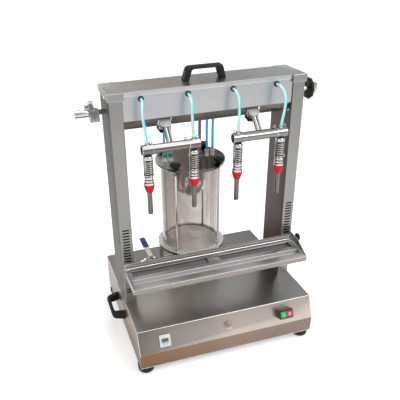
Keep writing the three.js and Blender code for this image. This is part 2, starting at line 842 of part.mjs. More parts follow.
// one unbroken coil, ended a hair inside its two seats
function spring(x) {
  const steps = springCurls * springSteps;
  const [ringSides, low, high] = [springSides, springBottom + springWire, springTop - springWire];
  const points = [];
  const faces = [];
  const centres = [];
  for (let i = 0; i <= steps; i++) {
    const turn = (i / steps) * springCurls * 2 * Math.PI;
    const out = new THREE.Vector3(Math.cos(turn), Math.sin(turn), 0);
    const centre = out.clone().multiplyScalar(springRadius);
    centre.z = low + ((high - low) * i) / steps;
    centres.push(centre);
    for (let k = 0; k < ringSides; k++) {
      const lean = (k / ringSides) * 2 * Math.PI;
      const point = centre.clone().addScaledVector(out, springWire * Math.cos(lean));
      points.push(point.x + x, point.y + nozzleY, point.z + springWire * Math.sin(lean));
    }
  }
  for (let i = 0; i < steps; i++) {
    for (let k = 0; k < ringSides; k++) {
      const [a, b] = [i * ringSides + k, i * ringSides + ((k + 1) % ringSides)];
      faces.push(a, b, b + ringSides, a, b + ringSides, a + ringSides);
    }
  }
  for (let k = 1; k < ringSides - 1; k++) {
    const last = steps * ringSides;
    faces.push(0, k + 1, k, last, last + k, last + k + 1);
  }
  const geometry = new THREE.BufferGeometry();
  geometry.setAttribute('position', new THREE.BufferAttribute(new Float32Array(points), 3));
  geometry.setIndex(faces);
  return { piece: solid(geometry), gap: leastGap(centres, springWire) };
}

// least space between the tube and itself, past its own nearest half curl
function leastGap(centres, radius) {
  let least = Infinity;
  for (let i = 0; i < centres.length; i++) {
    for (let j = i + springSteps / 2 + 1; j < centres.length; j++) {
      least = Math.min(least, centres[i].distanceTo(centres[j]) - 2 * radius);
    }
  }
  return least;
}

function springSeat(x) {
  const bore = needleRadius + slideClearance;
  const nutBottom = springBottom - seatWasherThick - seatNutHeight;
  const collarBottom = nutBottom - seatCollarHeight;
  return cut(join(
    bar('z', seatWasherRadius, [springBottom - seatWasherThick, springBottom], [x, nozzleY]),
    hexagon(seatNutAcross, x, nozzleY, [nutBottom, springBottom - seatWasherThick]),
    bar('z', seatCollarRadius, [collarBottom, nutBottom], [x, nozzleY]),
    bar('z', seatRingRadius, [seatBottom, collarBottom], [x, nozzleY]),
  ), bar('z', bore, [seatBottom - overrun, springBottom + overrun], [x, nozzleY]));
}

function cone(x) {
  const bore = needleRadius + slideClearance;
  return turned([
    [bore, 0], [coneTipRadius, 0], [coneSwell, coneHeight * coneSwellShare],
    [coneTopRadius, coneHeight - coneLip],
    [coneTopRadius, coneHeight], [bore, coneHeight], [bore, 0],
  ], x, nozzleY, coneBottom, round);
}

// tubes

function airTube(i) {
  const x = nozzlePlaces[i];
  const end = barTop + headRise;
  const free = airTubeWays[i].map(([bow, outShare, dropShare]) => [
    x + bow, panelFront + (nozzleY - panelFront) * outShare, grommetZ + (end - grommetZ) * dropShare]);
  return tube([
    [x, panelFront + tubeInside, grommetZ], [x, panelFront - tubeLead, grommetZ],
    ...free, [x, nozzleY, end + tubeLead], [x, nozzleY, end],
  ], tubeRadius, tubeSteps);
}

function fittingPlaces(side) {
  const across = side < 0 ? -leftFittingAcross : rightFittingAcross;
  return spread(across, 2, fittingPair).map((x) => [x, vesselY - fittingForward]);
}

// a tube that stands on the lid, then turns forwards into the open underside of the beam
function riser([x, y], radius) {
  const low = lidTop + fittingRise;
  const under = beamTop - backPanelHeight - radius - riserGap;
  return tube([
    [x, y, low], [x, y, low + riserStraight], [x, y - riserTurn / 4, under - riserTurn / 2],
    [x, postBack + coverOverlap, under], [x, postBack - riserTurn, under + riserRise],
  ], radius, riserSteps, few);
}

// a pair of tubes side by side, held by a clip inside the beam
function vesselTubes(side) {
  const [a, b] = fittingPlaces(side);
  const under = beamTop - backPanelHeight - tubeRadius - riserGap;
  const clip = block([a[0], b[0]], around(postBack - riserTurn / 2, tubeRadius),
    around(under + riserRise / 2, tubeRadius));
  return join(riser(a, tubeRadius), riser(b, tubeRadius), clip);
}

function vesselHose() {
  return riser([hoseFittingAcross, vesselY - hoseFittingBack], hoseRadius);
}

// vacuum vessel

function corners(circle) {
  return [[-1, -1], [1, -1], [1, 1], [-1, 1]].map(([a, b]) =>
    [(a * circle) / Math.SQRT2, vesselY + (b * circle) / Math.SQRT2]);
}

function vesselBase() {
  const bottom = flangeTop - flangeThick;
  const flange = bar('z', flangeRadius, [bottom, flangeTop], [0, vesselY], fine);
  const rods = corners(rodCircle).map(([x, y]) =>
    bar('z', rodRadius, [bottom, lidTop + lidStudHeight], [x, y], few));
  const legs = [[-1, 0], [1, 0], [0, -1], [0, 1]].map(([a, b]) =>
    bar('z', legRadius, [baseTop, bottom], [a * legCircle, vesselY + b * legCircle], coarse));
  return join(flange, ...rods, ...legs);
}

function vesselGlass() {
  return cut(
    bar('z', glassRadius, [flangeTop, lidBottom], [0, vesselY], fine),
    bar('z', glassRadius - glassWall, [flangeTop - overrun, lidBottom + overrun], [0, vesselY], fine));
}

function vesselLid() {
  const plate = bar('z', flangeRadius, [lidBottom, lidTop], [0, vesselY], fine);
  const pieces = [...fittingPlaces(-1), ...fittingPlaces(1),
    [hoseFittingAcross, vesselY - hoseFittingBack]].flatMap(([x, y]) => [
    bar('z', fittingRadius, [lidTop, lidTop + fittingRise], [x, y], few),
    bar('z', fittingCollarRadius, [lidTop + fittingRise - fittingCollar, lidTop + fittingRise],
      [x, y], few)]);
  const elbowPlace = [elbowAcross, vesselY - elbowForward];
  pieces.push(bar('z', fittingRadius, [lidTop, lidTop + elbowRise], elbowPlace, coarse));
  pieces.push(bar('x', elbowRadius, [elbowAcross - elbowLength, elbowAcross],
    [elbowPlace[1], lidTop + elbowRise - fittingRadius / 2], coarse));
  const rodHoles = corners(rodCircle).map(([x, y]) =>
    bar('z', rodRadius + runningGap, [lidBottom - overrun, lidTop + overrun], [x, y], few));
  const stemHole = bar('z', floatStemRadius + runningGap,
    [lidBottom - overrun, lidBottom + floatStemHold + floatTravel + runningGap], [0, vesselY], coarse);
  return cut(join(plate, ...pieces), ...rodHoles, stemHole);
}

function lidKnob([x, y]) {
  const neckTop = lidKnobNeck;
  const top = lidKnobNeck + lidKnobHeight;
  const [wide, narrow] = lidKnobDomeShares.map((share) => lidKnobRadius * share);
  const [shoulder, dome] = lidKnobShoulderShares.map((share) => top - lidKnobHeight * share);
  const body = turned([
    [0, 0], [lidKnobNeckRadius, 0], [lidKnobNeckRadius, neckTop], [lidKnobRadius, neckTop + sheet],
    [lidKnobRadius, shoulder], [wide, dome], [narrow, top], [0, top],
  ], x, y, lidTop, medium);
  return cut(body, bar('z', rodRadius + runningGap, [lidTop - overrun, lidTop + lidStudHeight + runningGap],
    [x, y], few));
}

function floatBall() {
  const middle = lidBottom - floatBelowLid;
  const ball = solid(new THREE.SphereGeometry(floatRadius, medium, coarse).rotateX(quarter)
    .translate(0, vesselY, middle));
  const stem = bar('z', floatStemRadius, [middle, lidBottom + floatStemHold], [0, vesselY], coarse);
  return join(ball, stem);
}

// drain valve

const drainX = -drainAcross;
const drainY = vesselY - drainForward;
const drainZ = flangeTop - flangeThick - drainDrop;
const valveX = drainX - valveFromDrain;

function drainValve() {
  const pieces = [
    bar('z', drainPipeRadius, [drainZ, flangeTop - flangeThick], [drainX, drainY]),
    solid(new THREE.SphereGeometry(drainPipeRadius, coarse, few).translate(drainX, drainY, drainZ)),
    bar('x', drainPipeRadius, [valveX - valveLength / 2 - valveOutlet, drainX], [drainY, drainZ]),
    solid(new THREE.SphereGeometry(valveBallRadius, coarse, few).translate(valveX, drainY, drainZ)),
  ];
  for (const side of [-1, 1]) {
    const end = valveX + (side * valveLength) / 2;
    const hex = new THREE.CylinderGeometry(valveHexAcross / 2, valveHexAcross / 2, valveHexLength, 6)
      .rotateZ(quarter).translate(end - (side * valveHexLength) / 2, drainY, drainZ);
    pieces.push(solid(hex));
  }
  pieces.push(bar('z', valveStemRadius, [drainZ, drainZ + valveStemRise], [valveX, drainY], coarse));
  return join(...pieces);
}

// the handle stands across the pipe, so the valve is shut
function drainLever() {
  const low = drainZ + valveStemRise;
  const plate = block(around(valveX, valveLeverWidth),
    [drainY - valveLeverWidth / 2, drainY + valveLeverLength - overrun], [low, low + valveLeverThick]);
  const outline = roundRect(valveGripWidth, valveLeverLength - valveGripStart, sheet);
  const grip = solid(pushed(outline, valveGripThick)
    .translate(valveX, drainY + (valveLeverLength + valveGripStart) / 2,
      low + valveLeverThick / 2 - valveGripThick / 2));
  const nut = hexagon(valveNutAcross, valveX, drainY, [low, low + valveLeverThick + valveNutHeight]);
  return join(plate, grip, nut);
}

// bottle shelf

function shelf() {
  const half = shelfHalfWidth;
  const ledgeFront = shelfBack - shelfLedge;
  const skin = alongX([
    [shelfBack, ledgeTop + shelfUpstand], [shelfBack - shelfSheet, ledgeTop + shelfUpstand],
    [shelfBack - shelfSheet, ledgeTop], [ledgeFront, ledgeTop],
    [ledgeFront, shelfTop], [shelfFront, shelfTop],
    [shelfFront, shelfTop - shelfFlange], [shelfFront + shelfSheet, shelfTop - shelfFlange],
    [shelfFront + shelfSheet, shelfUnder], [ledgeFront + shelfSheet, shelfUnder],
    [ledgeFront + shelfSheet, ledgeTop - shelfSheet], [shelfBack - shelfSheet, ledgeTop - shelfSheet],
    [shelfBack - shelfSheet, shelfTop - shelfFlange], [shelfBack, shelfTop - shelfFlange],
  ], [-half, half]);
  const side = (x) => block([x, x + shelfSheet], [shelfFront, shelfBack],
    [shelfTop - shelfFlange, shelfUnder]);
  const windowFront = ledgeFront - shelfWindowBack - shelfWindowDepth;
  const window = (low, high) => block([low, high], [windowFront, ledgeFront - shelfWindowBack],
    [shelfUnder - overrun, shelfTop + overrun]);
  const slotFront = shelfFront + shelfSlotFromFront;
  const slotBack = slotFront + shelfSlotDepth;
  const slotEnd = half - shelfSlotFromEnd;
  const slot = block([-slotEnd, slotEnd], [slotFront, slotBack], [shelfUnder - overrun, shelfTop + overrun]);
  const troughFloor = shelfTop - shelfTroughDepth;
  const trough = cut(
    block([-slotEnd - shelfSheet, slotEnd + shelfSheet], [slotFront - shelfSheet, slotBack + shelfSheet],
      [troughFloor - shelfSheet, shelfUnder]),
    block([-slotEnd, slotEnd], [slotFront, slotBack], [troughFloor, shelfTop]));
  const windowEnd = half - shelfWindowFromEnd;
  const bridge = shelfWindowBridge / 2;
  const catchPan = block([-half + shelfSheet, half - shelfSheet], [windowFront - shelfSheet, ledgeFront],
    [shelfTop - shelfTrayDrop - shelfSheet, shelfTop - shelfTrayDrop]);
  const panWalls = [windowFront - shelfSheet * 2, ledgeFront].map((y) =>
    block([-half + shelfSheet, half - shelfSheet], [y, y + shelfSheet],
      [shelfTop - shelfTrayDrop - shelfSheet, shelfUnder]));
  const plate = cut(join(skin, side(-half), side(half - shelfSheet)),
    window(-windowEnd, -bridge), window(bridge, windowEnd), slot);
  return join(plate, trough, catchPan, ...panWalls, endPlate());
}

// upright plate at the right end, which carries the clamp knob
function endPlate() {
  const top = shelfTop + endPlateRise;
  const outline = [
    [shelfFront, shelfUnder], [shelfFront, shelfTop],
    [shelfFront + endPlateShoulder, shelfTop + endPlateTopRise],
    [shelfBack - shelfLedge, top], [shelfBack, top], [shelfBack, shelfUnder],
  ];
  return alongX(outline, [shelfHalfWidth, shelfHalfWidth + shelfSheet]);
}

const shelfKnobY = shelfBack - shelfLedge - shelfKnobForward;
const shelfKnobZ = shelfTop + endPlateRise - shelfKnobBelowTop;

function shelfKnob() {
  const start = shelfHalfWidth + shelfSheet;
  const head = solid(pushed(lobed(shelfKnobRadius, shelfKnobLobes, shelfKnobLobeRadius), shelfKnobThick)
    .rotateY(quarter).translate(start + shelfKnobReach, shelfKnobY, shelfKnobZ));
  const stud = bar('x', shelfKnobStud, [start, start + shelfKnobReach + sheet],
    [shelfKnobY, shelfKnobZ], coarse);
  return join(head, stud);
}

// controls

function gaugeHole() {
  const inset = 2 * (gaugeBodyInset - controlGap);
  const [w, h] = [gaugeWidth - inset, gaugeHeight - inset];
  return onFront(block(around(0, w), around(0, h), [-sheet - overrun, overrun]), -gaugeAcross, gaugeDown);
}

function switchHole() {
  const [w, h] = [switchWidth - 2 * switchWall, switchHeight - 2 * switchWall];
  return onFront(block(around(0, w), around(0, h), [-sheet - overrun, overrun]), switchAcross, switchDown);
}

function portHole() {
  const hole = bar('z', portStemRadius + controlGap, [-sheet - overrun, overrun], [0, 0], coarse);
  return onFront(hole, 0, portDown);
}

function vacuumGauge() {
  const bezel = cut(
    solid(pushed(roundRect(gaugeWidth, gaugeHeight, sheet), gaugeStand)),
    block(around(0, gaugeWidth - 2 * gaugeRim), around(0, gaugeHeight - 2 * gaugeRim),
      [gaugeStand - gaugeScreenDepth, gaugeStand + overrun]));
  const [w, h] = [gaugeWidth - 2 * gaugeBodyInset, gaugeHeight - 2 * gaugeBodyInset];
  const body = block(around(0, w), around(0, h), [-gaugeBody, overrun / 2]);
  return onFront(join(bezel, body), -gaugeAcross, gaugeDown);
}

// fluted knob on a hexagon, which bleeds the vacuum
function portKnob() {
  const hex = bar('z', portHexAcross / (2 * Math.cos(30 * degree)), [0, portHexThick], [0, 0], 6);
  const head = solid(pushed(lobed(portKnobRadius, portKnobFlutes, portKnobFlute), portKnobLength)
    .translate(0, 0, portHexThick));
  const stem = bar('z', portStemRadius, [-sheet - portHexThick, portHexThick], [0, 0], coarse);
  return onFront(join(hex, head, stem), 0, portDown);
}

function buttonPlaces() {
  return spread(0, 2, buttonWidth + buttonGap);
}

function switchBox() {
  const shell = cut(
    solid(pushed(roundRect(switchWidth, switchHeight, switchCorner), switchStand)),
    ...buttonPlaces().map((x) => block(
      around(x, buttonWidth + 2 * controlGap), around(0, buttonHeight + 2 * controlGap),
      [switchStand - buttonDepth - buttonTravel - controlGap, switchStand + overrun])));
  return onFront(shell, switchAcross, switchDown);
}

function button(i) {
  const x = buttonPlaces()[i];
  const cap = solid(pushed(roundRect(buttonWidth, buttonHeight, sheet), buttonDepth + buttonProud)
    .translate(x, 0, switchStand - buttonDepth));
  return onFront(cap, switchAcross, switchDown);
}

// pump

function vacuumPump() {
  const floor = floorOfHousing;
  const [x, y] = [pumpAcross, pumpBack];
  const head = block(around(x, pumpWidth), around(y, pumpDepth), [floor, floor + pumpHeight]);
  const axis = floor + pumpHeight / 2 + sheet;
  const motor = bar('x', motorRadius, [x - pumpWidth / 2 - motorLength, x], [y, axis], round);
  const bed = block([x - pumpWidth / 2 - motorLength + overrun, x], around(y, pumpFootWidth),
    [floor, axis - motorRadius / 2]);
  const ports = [-1, 1].map((side) => bar('z', pumpPortRadius,
    [floor + pumpHeight, floor + pumpHeight + pumpPortRise], [x + (side * pumpWidth) / 4, y], coarse));
  return join(head, motor, bed, ...ports);
}

// assembly

keep('base_housing', baseHousing(), 'steel');
keep('base_plate', basePlate(), 'steel');
const footX = baseSide - footFromSide;
const footFrontY = baseFront - foldOut + footFromFront;
const footBackY = baseDepth / 2 - footFromBack;
keep('foot_front_left', foot(-footX, footFrontY), 'rubber');
keep('foot_front_right', foot(footX, footFrontY), 'rubber');
keep('foot_back_left', foot(-footX, footBackY), 'rubber');
keep('foot_back_right', foot(footX, footBackY), 'rubber');

const sideHandle = (side) => bridgeHandle().rotate([90, 0, side * 90])
  .translate([side * baseSide, sideHandleBehindMiddle, baseTop - sideHandleDrop]);
keep('handle_left', sideHandle(-1), 'black');
keep('handle_right', sideHandle(1), 'black');
keep('top_handle', bridgeHandle().translate([0, postFront + topHandleBehindFront, beamTop]), 'black');

keep('left_post', post(-1), 'steel');
keep('right_post', post(1), 'steel');
keep('beam_cover', beamCover(), 'steel');
keep('beam_front_panel', beamFrontPanel(), 'steel');
keep('grommet_strip', grommetStrip(), 'rubber');

keep('nozzle_shaft', nozzleShaft(), 'bright');
keep('shaft_lever', shaftLever(), 'bright');
keep('lock_disc', lockDisc(), 'black');
keep('left_arm', arm(-1), 'bright');
keep('right_arm', arm(1), 'bright');
keep('left_arm_knob', armKnob(-1), 'black');
keep('right_arm_knob', armKnob(1), 'black');

const [n1, n2, n3, n4] = nozzlePlaces;
keep('left_nozzle_bar',
  nozzleBar([n1, n2], [n1 + eyeFromNozzle, n2 - 2 * eyeFromNozzle, n2 + eyeFromNozzle]), 'steel');
keep('right_nozzle_bar',
  nozzleBar([n3, n4], [n3 - eyeFromNozzle, n4 - eyeFromNozzle, n4 + eyeFromNozzle]), 'steel');

nozzlePlaces.forEach((x, i) => {
  const coil = spring(x);
  if (i === 0) console.log(`spring: least gap to itself ${coil.gap.toFixed(2)} mm`);
  keep(`nozzle_spring_${i + 1}`, coil.piece, 'bright');
  keep(`nozzle_seat_${i + 1}`, springSeat(x), 'bright');
  keep(`nozzle_cone_${i + 1}`, cone(x), 'red');
  keep(`air_tube_${i + 1}`, airTube(i), 'air');
});

keep('vessel_base', vesselBase(), 'steel');
keep('vessel_glass', vesselGlass(), 'glass');
keep('vessel_lid', vesselLid(), 'steel');
corners(rodCircle).forEach((place, i) => keep(`lid_knob_${i + 1}`, lidKnob(place), 'black'));
keep('float_ball', floatBall(), 'bright');
keep('left_vessel_tubes', vesselTubes(-1), 'blue');
keep('right_vessel_tubes', vesselTubes(1), 'blue');
keep('vessel_hose', vesselHose(), 'grey');
keep('drain_valve', drainValve(), 'bright');
keep('drain_lever', drainLever(), 'navy');

keep('bottle_shelf', shelf(), 'steel');
keep('shelf_knob', shelfKnob(), 'black');

keep('vacuum_gauge', vacuumGauge(), 'white');
keep('bleed_knob', portKnob(), 'bright');
keep('switch_box', switchBox(), 'black');
keep('start_button', button(0), 'green');
keep('stop_button', button(1), 'stop');
keep('vacuum_pump', vacuumPump(), 'cast');

// the origin is the middle of the whole machine's footprint, on the floor
const footprint = new THREE.Box3().setFromObject(machine);
const centre = footprint.getCenter(new THREE.Vector3());
machine.children.forEach((mesh) => mesh.geometry.translate(-centre.x, -centre.y, 0));
console.log(`footprint centre ${centre.x.toFixed(3)} ${centre.y.toFixed(3)}`);

export default machine;
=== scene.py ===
from math import atan2, cos, degrees, pi, radians, sin, sqrt

import bmesh
import bpy
from mathutils import Matrix, Vector

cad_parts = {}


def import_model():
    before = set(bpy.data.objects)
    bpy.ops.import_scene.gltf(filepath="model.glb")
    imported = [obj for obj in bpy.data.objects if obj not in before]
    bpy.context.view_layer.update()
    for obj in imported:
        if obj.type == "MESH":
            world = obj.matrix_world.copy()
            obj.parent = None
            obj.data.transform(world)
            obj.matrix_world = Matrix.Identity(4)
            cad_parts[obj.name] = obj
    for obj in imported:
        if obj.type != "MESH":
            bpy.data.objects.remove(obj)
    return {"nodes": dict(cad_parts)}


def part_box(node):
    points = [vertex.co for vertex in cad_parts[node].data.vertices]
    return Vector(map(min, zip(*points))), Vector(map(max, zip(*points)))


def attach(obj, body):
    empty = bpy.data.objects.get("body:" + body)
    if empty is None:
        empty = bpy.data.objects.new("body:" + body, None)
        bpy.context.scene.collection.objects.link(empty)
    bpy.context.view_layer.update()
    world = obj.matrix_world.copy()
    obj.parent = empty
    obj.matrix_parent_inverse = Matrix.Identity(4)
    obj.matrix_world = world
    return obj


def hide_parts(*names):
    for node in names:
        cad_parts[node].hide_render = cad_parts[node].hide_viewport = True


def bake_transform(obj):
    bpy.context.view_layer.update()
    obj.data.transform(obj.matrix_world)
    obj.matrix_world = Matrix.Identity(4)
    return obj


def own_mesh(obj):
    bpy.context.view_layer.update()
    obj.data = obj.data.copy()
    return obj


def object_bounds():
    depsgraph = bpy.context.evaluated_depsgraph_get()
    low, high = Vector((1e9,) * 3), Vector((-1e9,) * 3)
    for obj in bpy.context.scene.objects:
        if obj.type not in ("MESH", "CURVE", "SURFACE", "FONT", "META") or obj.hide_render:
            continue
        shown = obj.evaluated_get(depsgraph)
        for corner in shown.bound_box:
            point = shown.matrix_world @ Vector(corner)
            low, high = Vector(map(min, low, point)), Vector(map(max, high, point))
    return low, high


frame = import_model()
nodes = frame["nodes"]
cad_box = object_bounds()
scene = bpy.context.scene

# sizes and places are millimetres in the machine's own frame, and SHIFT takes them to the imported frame
TO_MM = 1000
TO_M = 0.001

BASE_FRONT = -223
BASE_BACK = 223
BASE_TOP = 145
FOLD_OUT = 26.5
FOLD_DROP = 67.5
LOW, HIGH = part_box("base_housing")
SHIFT = Vector(((LOW.x + HIGH.x) / 2 * TO_MM, HIGH.y * TO_MM - BASE_BACK, 0))

POST_FRONT = -78
POST_INSIDE = 243
SLOTS_MIDDLE = 261.5
SLOTS_HALF_WIDTH = 12
SLOT_RUNS = ((290, 416), (182, 206))
SLOTS_TOP = 420
WALL_BEHIND = 2.1
SHADE_SHEET_THICK = 1.3
SLIDE_GAP = 0.25

BEAM_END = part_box("beam_cover")[0].x * TO_MM - SHIFT.x
CAP_OVER_POST = 230
PANEL_FRONT = -74
PANEL_BEND = 725.5
GROMMET_Z = 781

CARRIER = "nozzle_carrier"
NOZZLE_Y = -117
NOZZLES = [-193.5, -64.5, 64.5, 193.5]
NEEDLE_LOW = 469
CONE_LOW = 534
SEAT_LOW = 559
SPRING_LOW = 588
SPRING_HIGH = 630
HEAD_TOP = 671
COIL_RADIUS = 12
COIL_TURNS = 7.5
COIL_STEPS = 20
WIRE_RADIUS = 1.6

BAR_MIDDLE = 657
BAR_RADIUS = 13.2
SLEEVE_RADIUS = 14.3
SLEEVE_LENGTH = 30
BAR_SEAT = BAR_MIDDLE + 12.4
ARM_BLOCK_LOW = 690
GRIP_START = -299

VESSEL_Y = 108
FLANGE_LOW = 219.3
FLANGE_RADIUS = 112
GLASS_RADIUS = 96
GLASS_THICK = 5
GLASS_LOW = 229
GLASS_HIGH = 516
LID_TOP = 526
ROD_CIRCLE = 101
ROD_RADIUS = 3.5
THREAD_LOW = 500
THREAD_HIGH = 538.4
LEG_CIRCLE = 107
FITTING_Y = VESSEL_Y - 9
FITTING_LOW = 526.1
FLOAT_RADIUS = 54
FLOAT_MIDDLE = 450
FLOAT_STEM_TOP = 68.2

SHELF_LIP = -185
TROUGH_WALL = (-146, -140)
RIBS_FRONT = -125.5
RIBS_BACK = -94
RIBS_HALF_WIDTH = 271.5
RIB_PITCH = 3.1
RIB_LOW = 263.4
RIB_HIGH = 266.4
RIBS_UNDERSIDE = 260.6
LEDGE_Y, LEDGE_Z = -93.4, 281.6
SHELF_KNOB_X, SHELF_KNOB_Y, SHELF_KNOB_Z = 282, -106, 291

GAUGE_X, GAUGE_DOWN = -201, 39
SWITCH_X, SWITCH_DOWN = 183.5, 35.5
KEY_X = 10.05
DRAIN_X, DRAIN_Y, STRAP_LOW = -158, 64, 217


def world(x, y, z):
    return (Vector((x, y, z)) + SHIFT) * TO_M


VESSEL_AXIS = world(0, VESSEL_Y, 0)

# the camera's place, its turn round the machine, tilt down and roll in degrees, and in the picture's pixels
# the picture's width, the focal length and the point on the lens's axis
CAMERA_PLACE = (-509.589, -1395.315, 1155.932)
CAMERA_ANGLES = (-16.1676, 29.216, -1.8671)
PICTURE = 400
FOCAL = 529.618
AIM_X, AIM_Y = 170.002, 227.921
SENSOR = 36


def new_object(name, data):
    made = bpy.data.objects.new(name, data)
    scene.collection.objects.link(made)
    return made


def aim_camera():
    around, down, roll = (radians(angle) for angle in CAMERA_ANGLES)
    turn = Matrix.Rotation(around, 4, "Z") @ Matrix.Rotation(pi / 2 - down, 4, "X")
    turn = turn @ Matrix.Rotation(roll, 4, "Z")
    data = bpy.data.cameras.new("camera")
    data.sensor_width = SENSOR
    data.lens = FOCAL * SENSOR / PICTURE
    data.shift_x = (PICTURE / 2 - AIM_X) / PICTURE
    data.shift_y = (AIM_Y - PICTURE / 2) / PICTURE
    data.clip_end = 50
    camera = new_object("camera", data)
    camera.matrix_world = Matrix.Translation(world(*CAMERA_PLACE)) @ turn
    scene.camera = camera


aim_camera()


# node materials
class Tree:
    """A node tree, with short calls for the nodes that the looks and the sky share."""

    def __init__(self, tree):
        self.tree = tree

    def fill(self, node, values):
        """Links or puts each value into the input of its name, or else sets it on the node itself."""
        for key, value in values.items():
            name = key.replace("_", " ")
            if name not in node.inputs:
                setattr(node, key, value)
            elif isinstance(value, bpy.types.NodeSocket):
                self.link(value, node.inputs[name])
            else:
                node.inputs[name].default_value = value
        return node

    def node(self, kind, **values):
        return self.fill(self.tree.nodes.new("ShaderNode" + kind), values)

    def link(self, a, b):
        self.tree.links.new(a, b)

    def split(self, vector):
        return self.node("SeparateXYZ", Vector=vector).outputs

    def span(self, value, low, high, start=0.3, end=0.7):
        made = self.node("MapRange", Value=value, From_Min=start, From_Max=end, To_Min=low, To_Max=high)
        return made.outputs["Result"]

    def math(self, operation, a, b):
        made = self.node("Math", operation=operation)
        for slot, value in enumerate((a, b)):
            if isinstance(value, (int, float)):
                made.inputs[slot].default_value = value
            else:
                self.link(value, made.inputs[slot])
        return made.outputs[0]

    def blend(self, a, b, share):
        """Adds two values, share of the first to the rest of the second."""
        rest = round(1 - share, 3)
        return self.math("ADD", self.math("MULTIPLY", a, share), self.math("MULTIPLY", b, rest))

    def ramp(self, value, *stops):
        """Colours by value from (place, colour) stops, where a single number is a grey."""
        made = self.node("ValToRGB", Fac=value)
        line = made.color_ramp.elements
        while len(line) < len(stops):
            line.new(0.5)
        for element, (where, colour) in zip(line, stops):
            element.position = where
            element.color = (*colour, 1) if isinstance(colour, tuple) else (colour, colour, colour, 1)
        return made.outputs["Color"]

    def times(self, a, b):
        made = self.node("Mix", data_type="RGBA", blend_type="MULTIPLY", Factor=1, A=a, B=b)
        return made.outputs["Result"]


class Look(Tree):
    """One material's nodes, with its shader's inputs at hand."""

    def __init__(self, name, **values):
        self.material = bpy.data.materials.new(name)
        self.material.use_nodes = True
        super().__init__(self.material.node_tree)
        self.shader = self.fill(self.tree.nodes["Principled BSDF"], values)

    def place(self, scale=(1, 1, 1), shift=(0, 0, 0)):
        where = self.node("TexCoord").outputs["Object"]
        return self.node("Mapping", Vector=where, Scale=scale, Location=shift).outputs["Vector"]

    def noise(self, scale, detail, rough, stretch=(1, 1, 1), shift=(0, 0, 0), vector=None):
        if vector is None:
            vector = self.place(stretch, shift)
        made = self.node("TexNoise", Vector=vector, Scale=scale, Detail=detail, Roughness=rough)
        return made.outputs["Fac"]

    def drift(self, colour, axis, tones, start=-0.27, end=0.29):
        """Multiplies a colour by tones spread evenly along one axis of the frame: painted light, shade and
        reflections that drift over a piece.
        """
        if not tones:
            return colour
        steps = [(k / (len(tones) - 1), tone) for k, tone in enumerate(tones)]
        along = self.span(self.split(self.place())[axis], 0, 1, start, end)
        return self.times(colour, self.ramp(along, *steps))

    def drift_vessel(self, colour, axis, tones, radius):
        """The same over a round piece on the vessel's axis."""
        middle, reach = VESSEL_AXIS[axis], radius * TO_M
        return self.drift(colour, axis, tones, middle - reach, middle + reach)

    def bump(self, height, strength, distance):
        made = self.node("Bump", Height=height, Strength=strength, Distance=distance)
        self.link(made.outputs["Normal"], self.shader.inputs["Normal"])

    def colour(self, output):
        self.link(output, self.shader.inputs["Base Color"])

    def rough(self, output):
        self.link(output, self.shader.inputs["Roughness"])


def shade(colour, factor):
    return tuple(min(1, c * factor) for c in colour)


def brushed(name, tone, grain, roughness=0.3, across=None, back=None, metal=1):
    """Brushed sheet: fine lines along one axis, broad cloudy tone and a few handling marks.

    across lists the tone's drift from the left to the right, back its drift from the front to the rear;
    both drifts are painted light, shade and reflections.
    """
    look = Look(name, Metallic=metal)
    lines = look.noise(1, 4, 0.65, grain)
    cloud = look.noise(5, 3, 0.55)
    marks = look.noise(19, 6, 0.7, shift=(3, 1, 7))
    mixed = look.blend(lines, cloud, 0.3)
    sheet = look.ramp(mixed, (0.3, shade(tone, 0.88)), (0.5, tone), (0.72, shade(tone, 1.1)))
    look.colour(look.drift(look.drift(sheet, 0, across), 1, back))
    worn = look.span(marks, roughness - 0.03, roughness + 0.04)
    look.rough(look.math("ADD", look.span(lines, -0.03, 0.05), worn))
    look.bump(lines, 0.05, 0.0003)
    return look.material


def polished(name, tone, roughness=0.14, scale=60):
    """Polished or machined metal: a cloudy tone over very fine waves."""
    look = Look(name, Metallic=1)
    cloud = look.noise(scale, 4, 0.6)
    fine = look.noise(scale * 8, 3, 0.6, (1, 1, 6))
    look.colour(look.ramp(cloud, (0.3, shade(tone, 0.86)), (0.7, shade(tone, 1.08))))
    look.rough(look.span(cloud, roughness - 0.05, roughness + 0.12))
    look.bump(fine, 0.06, 0.0002)
    return look.material


def mirror_ball(name):
    """Polished hollow float with painted reflections: bright bands up both its sides, a darker middle and
    patches.
    """
    look = Look(name, Metallic=0.8)
    cloud = look.noise(24, 2, 0.5, (1, 1, 0.6))
    # painted reflections: dark and bright patches, and bright bands up both sides round a darker middle
    base = look.ramp(cloud, (0.44, (0.16, 0.15, 0.14)), (0.5, (0.7, 0.68, 0.66)), (0.55, (1, 0.99, 0.97)))
    bands = [(v, v * 0.98, v * 0.95) for v in (0.5, 1, 1, 0.6, 0.4, 0.6, 1, 1, 0.5)]
    look.colour(look.drift_vessel(base, 0, bands, FLOAT_RADIUS + 1))
    look.rough(look.span(cloud, 0.03, 0.1))
    return look.material


def turned_steel(name, tone, roughness=0.24, across=None, metal=1):
    """Lathe-turned plate: fine rings round the vessel's axis, and across the tone's drift from left to right
    as painted reflections.
    """
    look = Look(name, Metallic=metal)
    x, y, _ = look.split(look.place(shift=(-VESSEL_AXIS.x, -VESSEL_AXIS.y, 0)))
    square = look.math("ADD", look.math("MULTIPLY", x, x), look.math("MULTIPLY", y, y))
    combine = look.node("CombineXYZ", X=look.math("POWER", square, 0.5))
    rings = look.noise(1400, 2, 0.6, vector=combine.outputs[0])
    cloud = look.noise(9, 4, 0.6)
    plate = look.ramp(look.blend(rings, cloud, 0.4), (0.3, shade(tone, 0.82)), (0.7, shade(tone, 1.12)))
    look.colour(look.drift_vessel(plate, 0, across, FLANGE_RADIUS))
    look.rough(look.span(cloud, roughness, roughness + 0.12))
    look.bump(rings, 0.1, 0.0003)
    return look.material


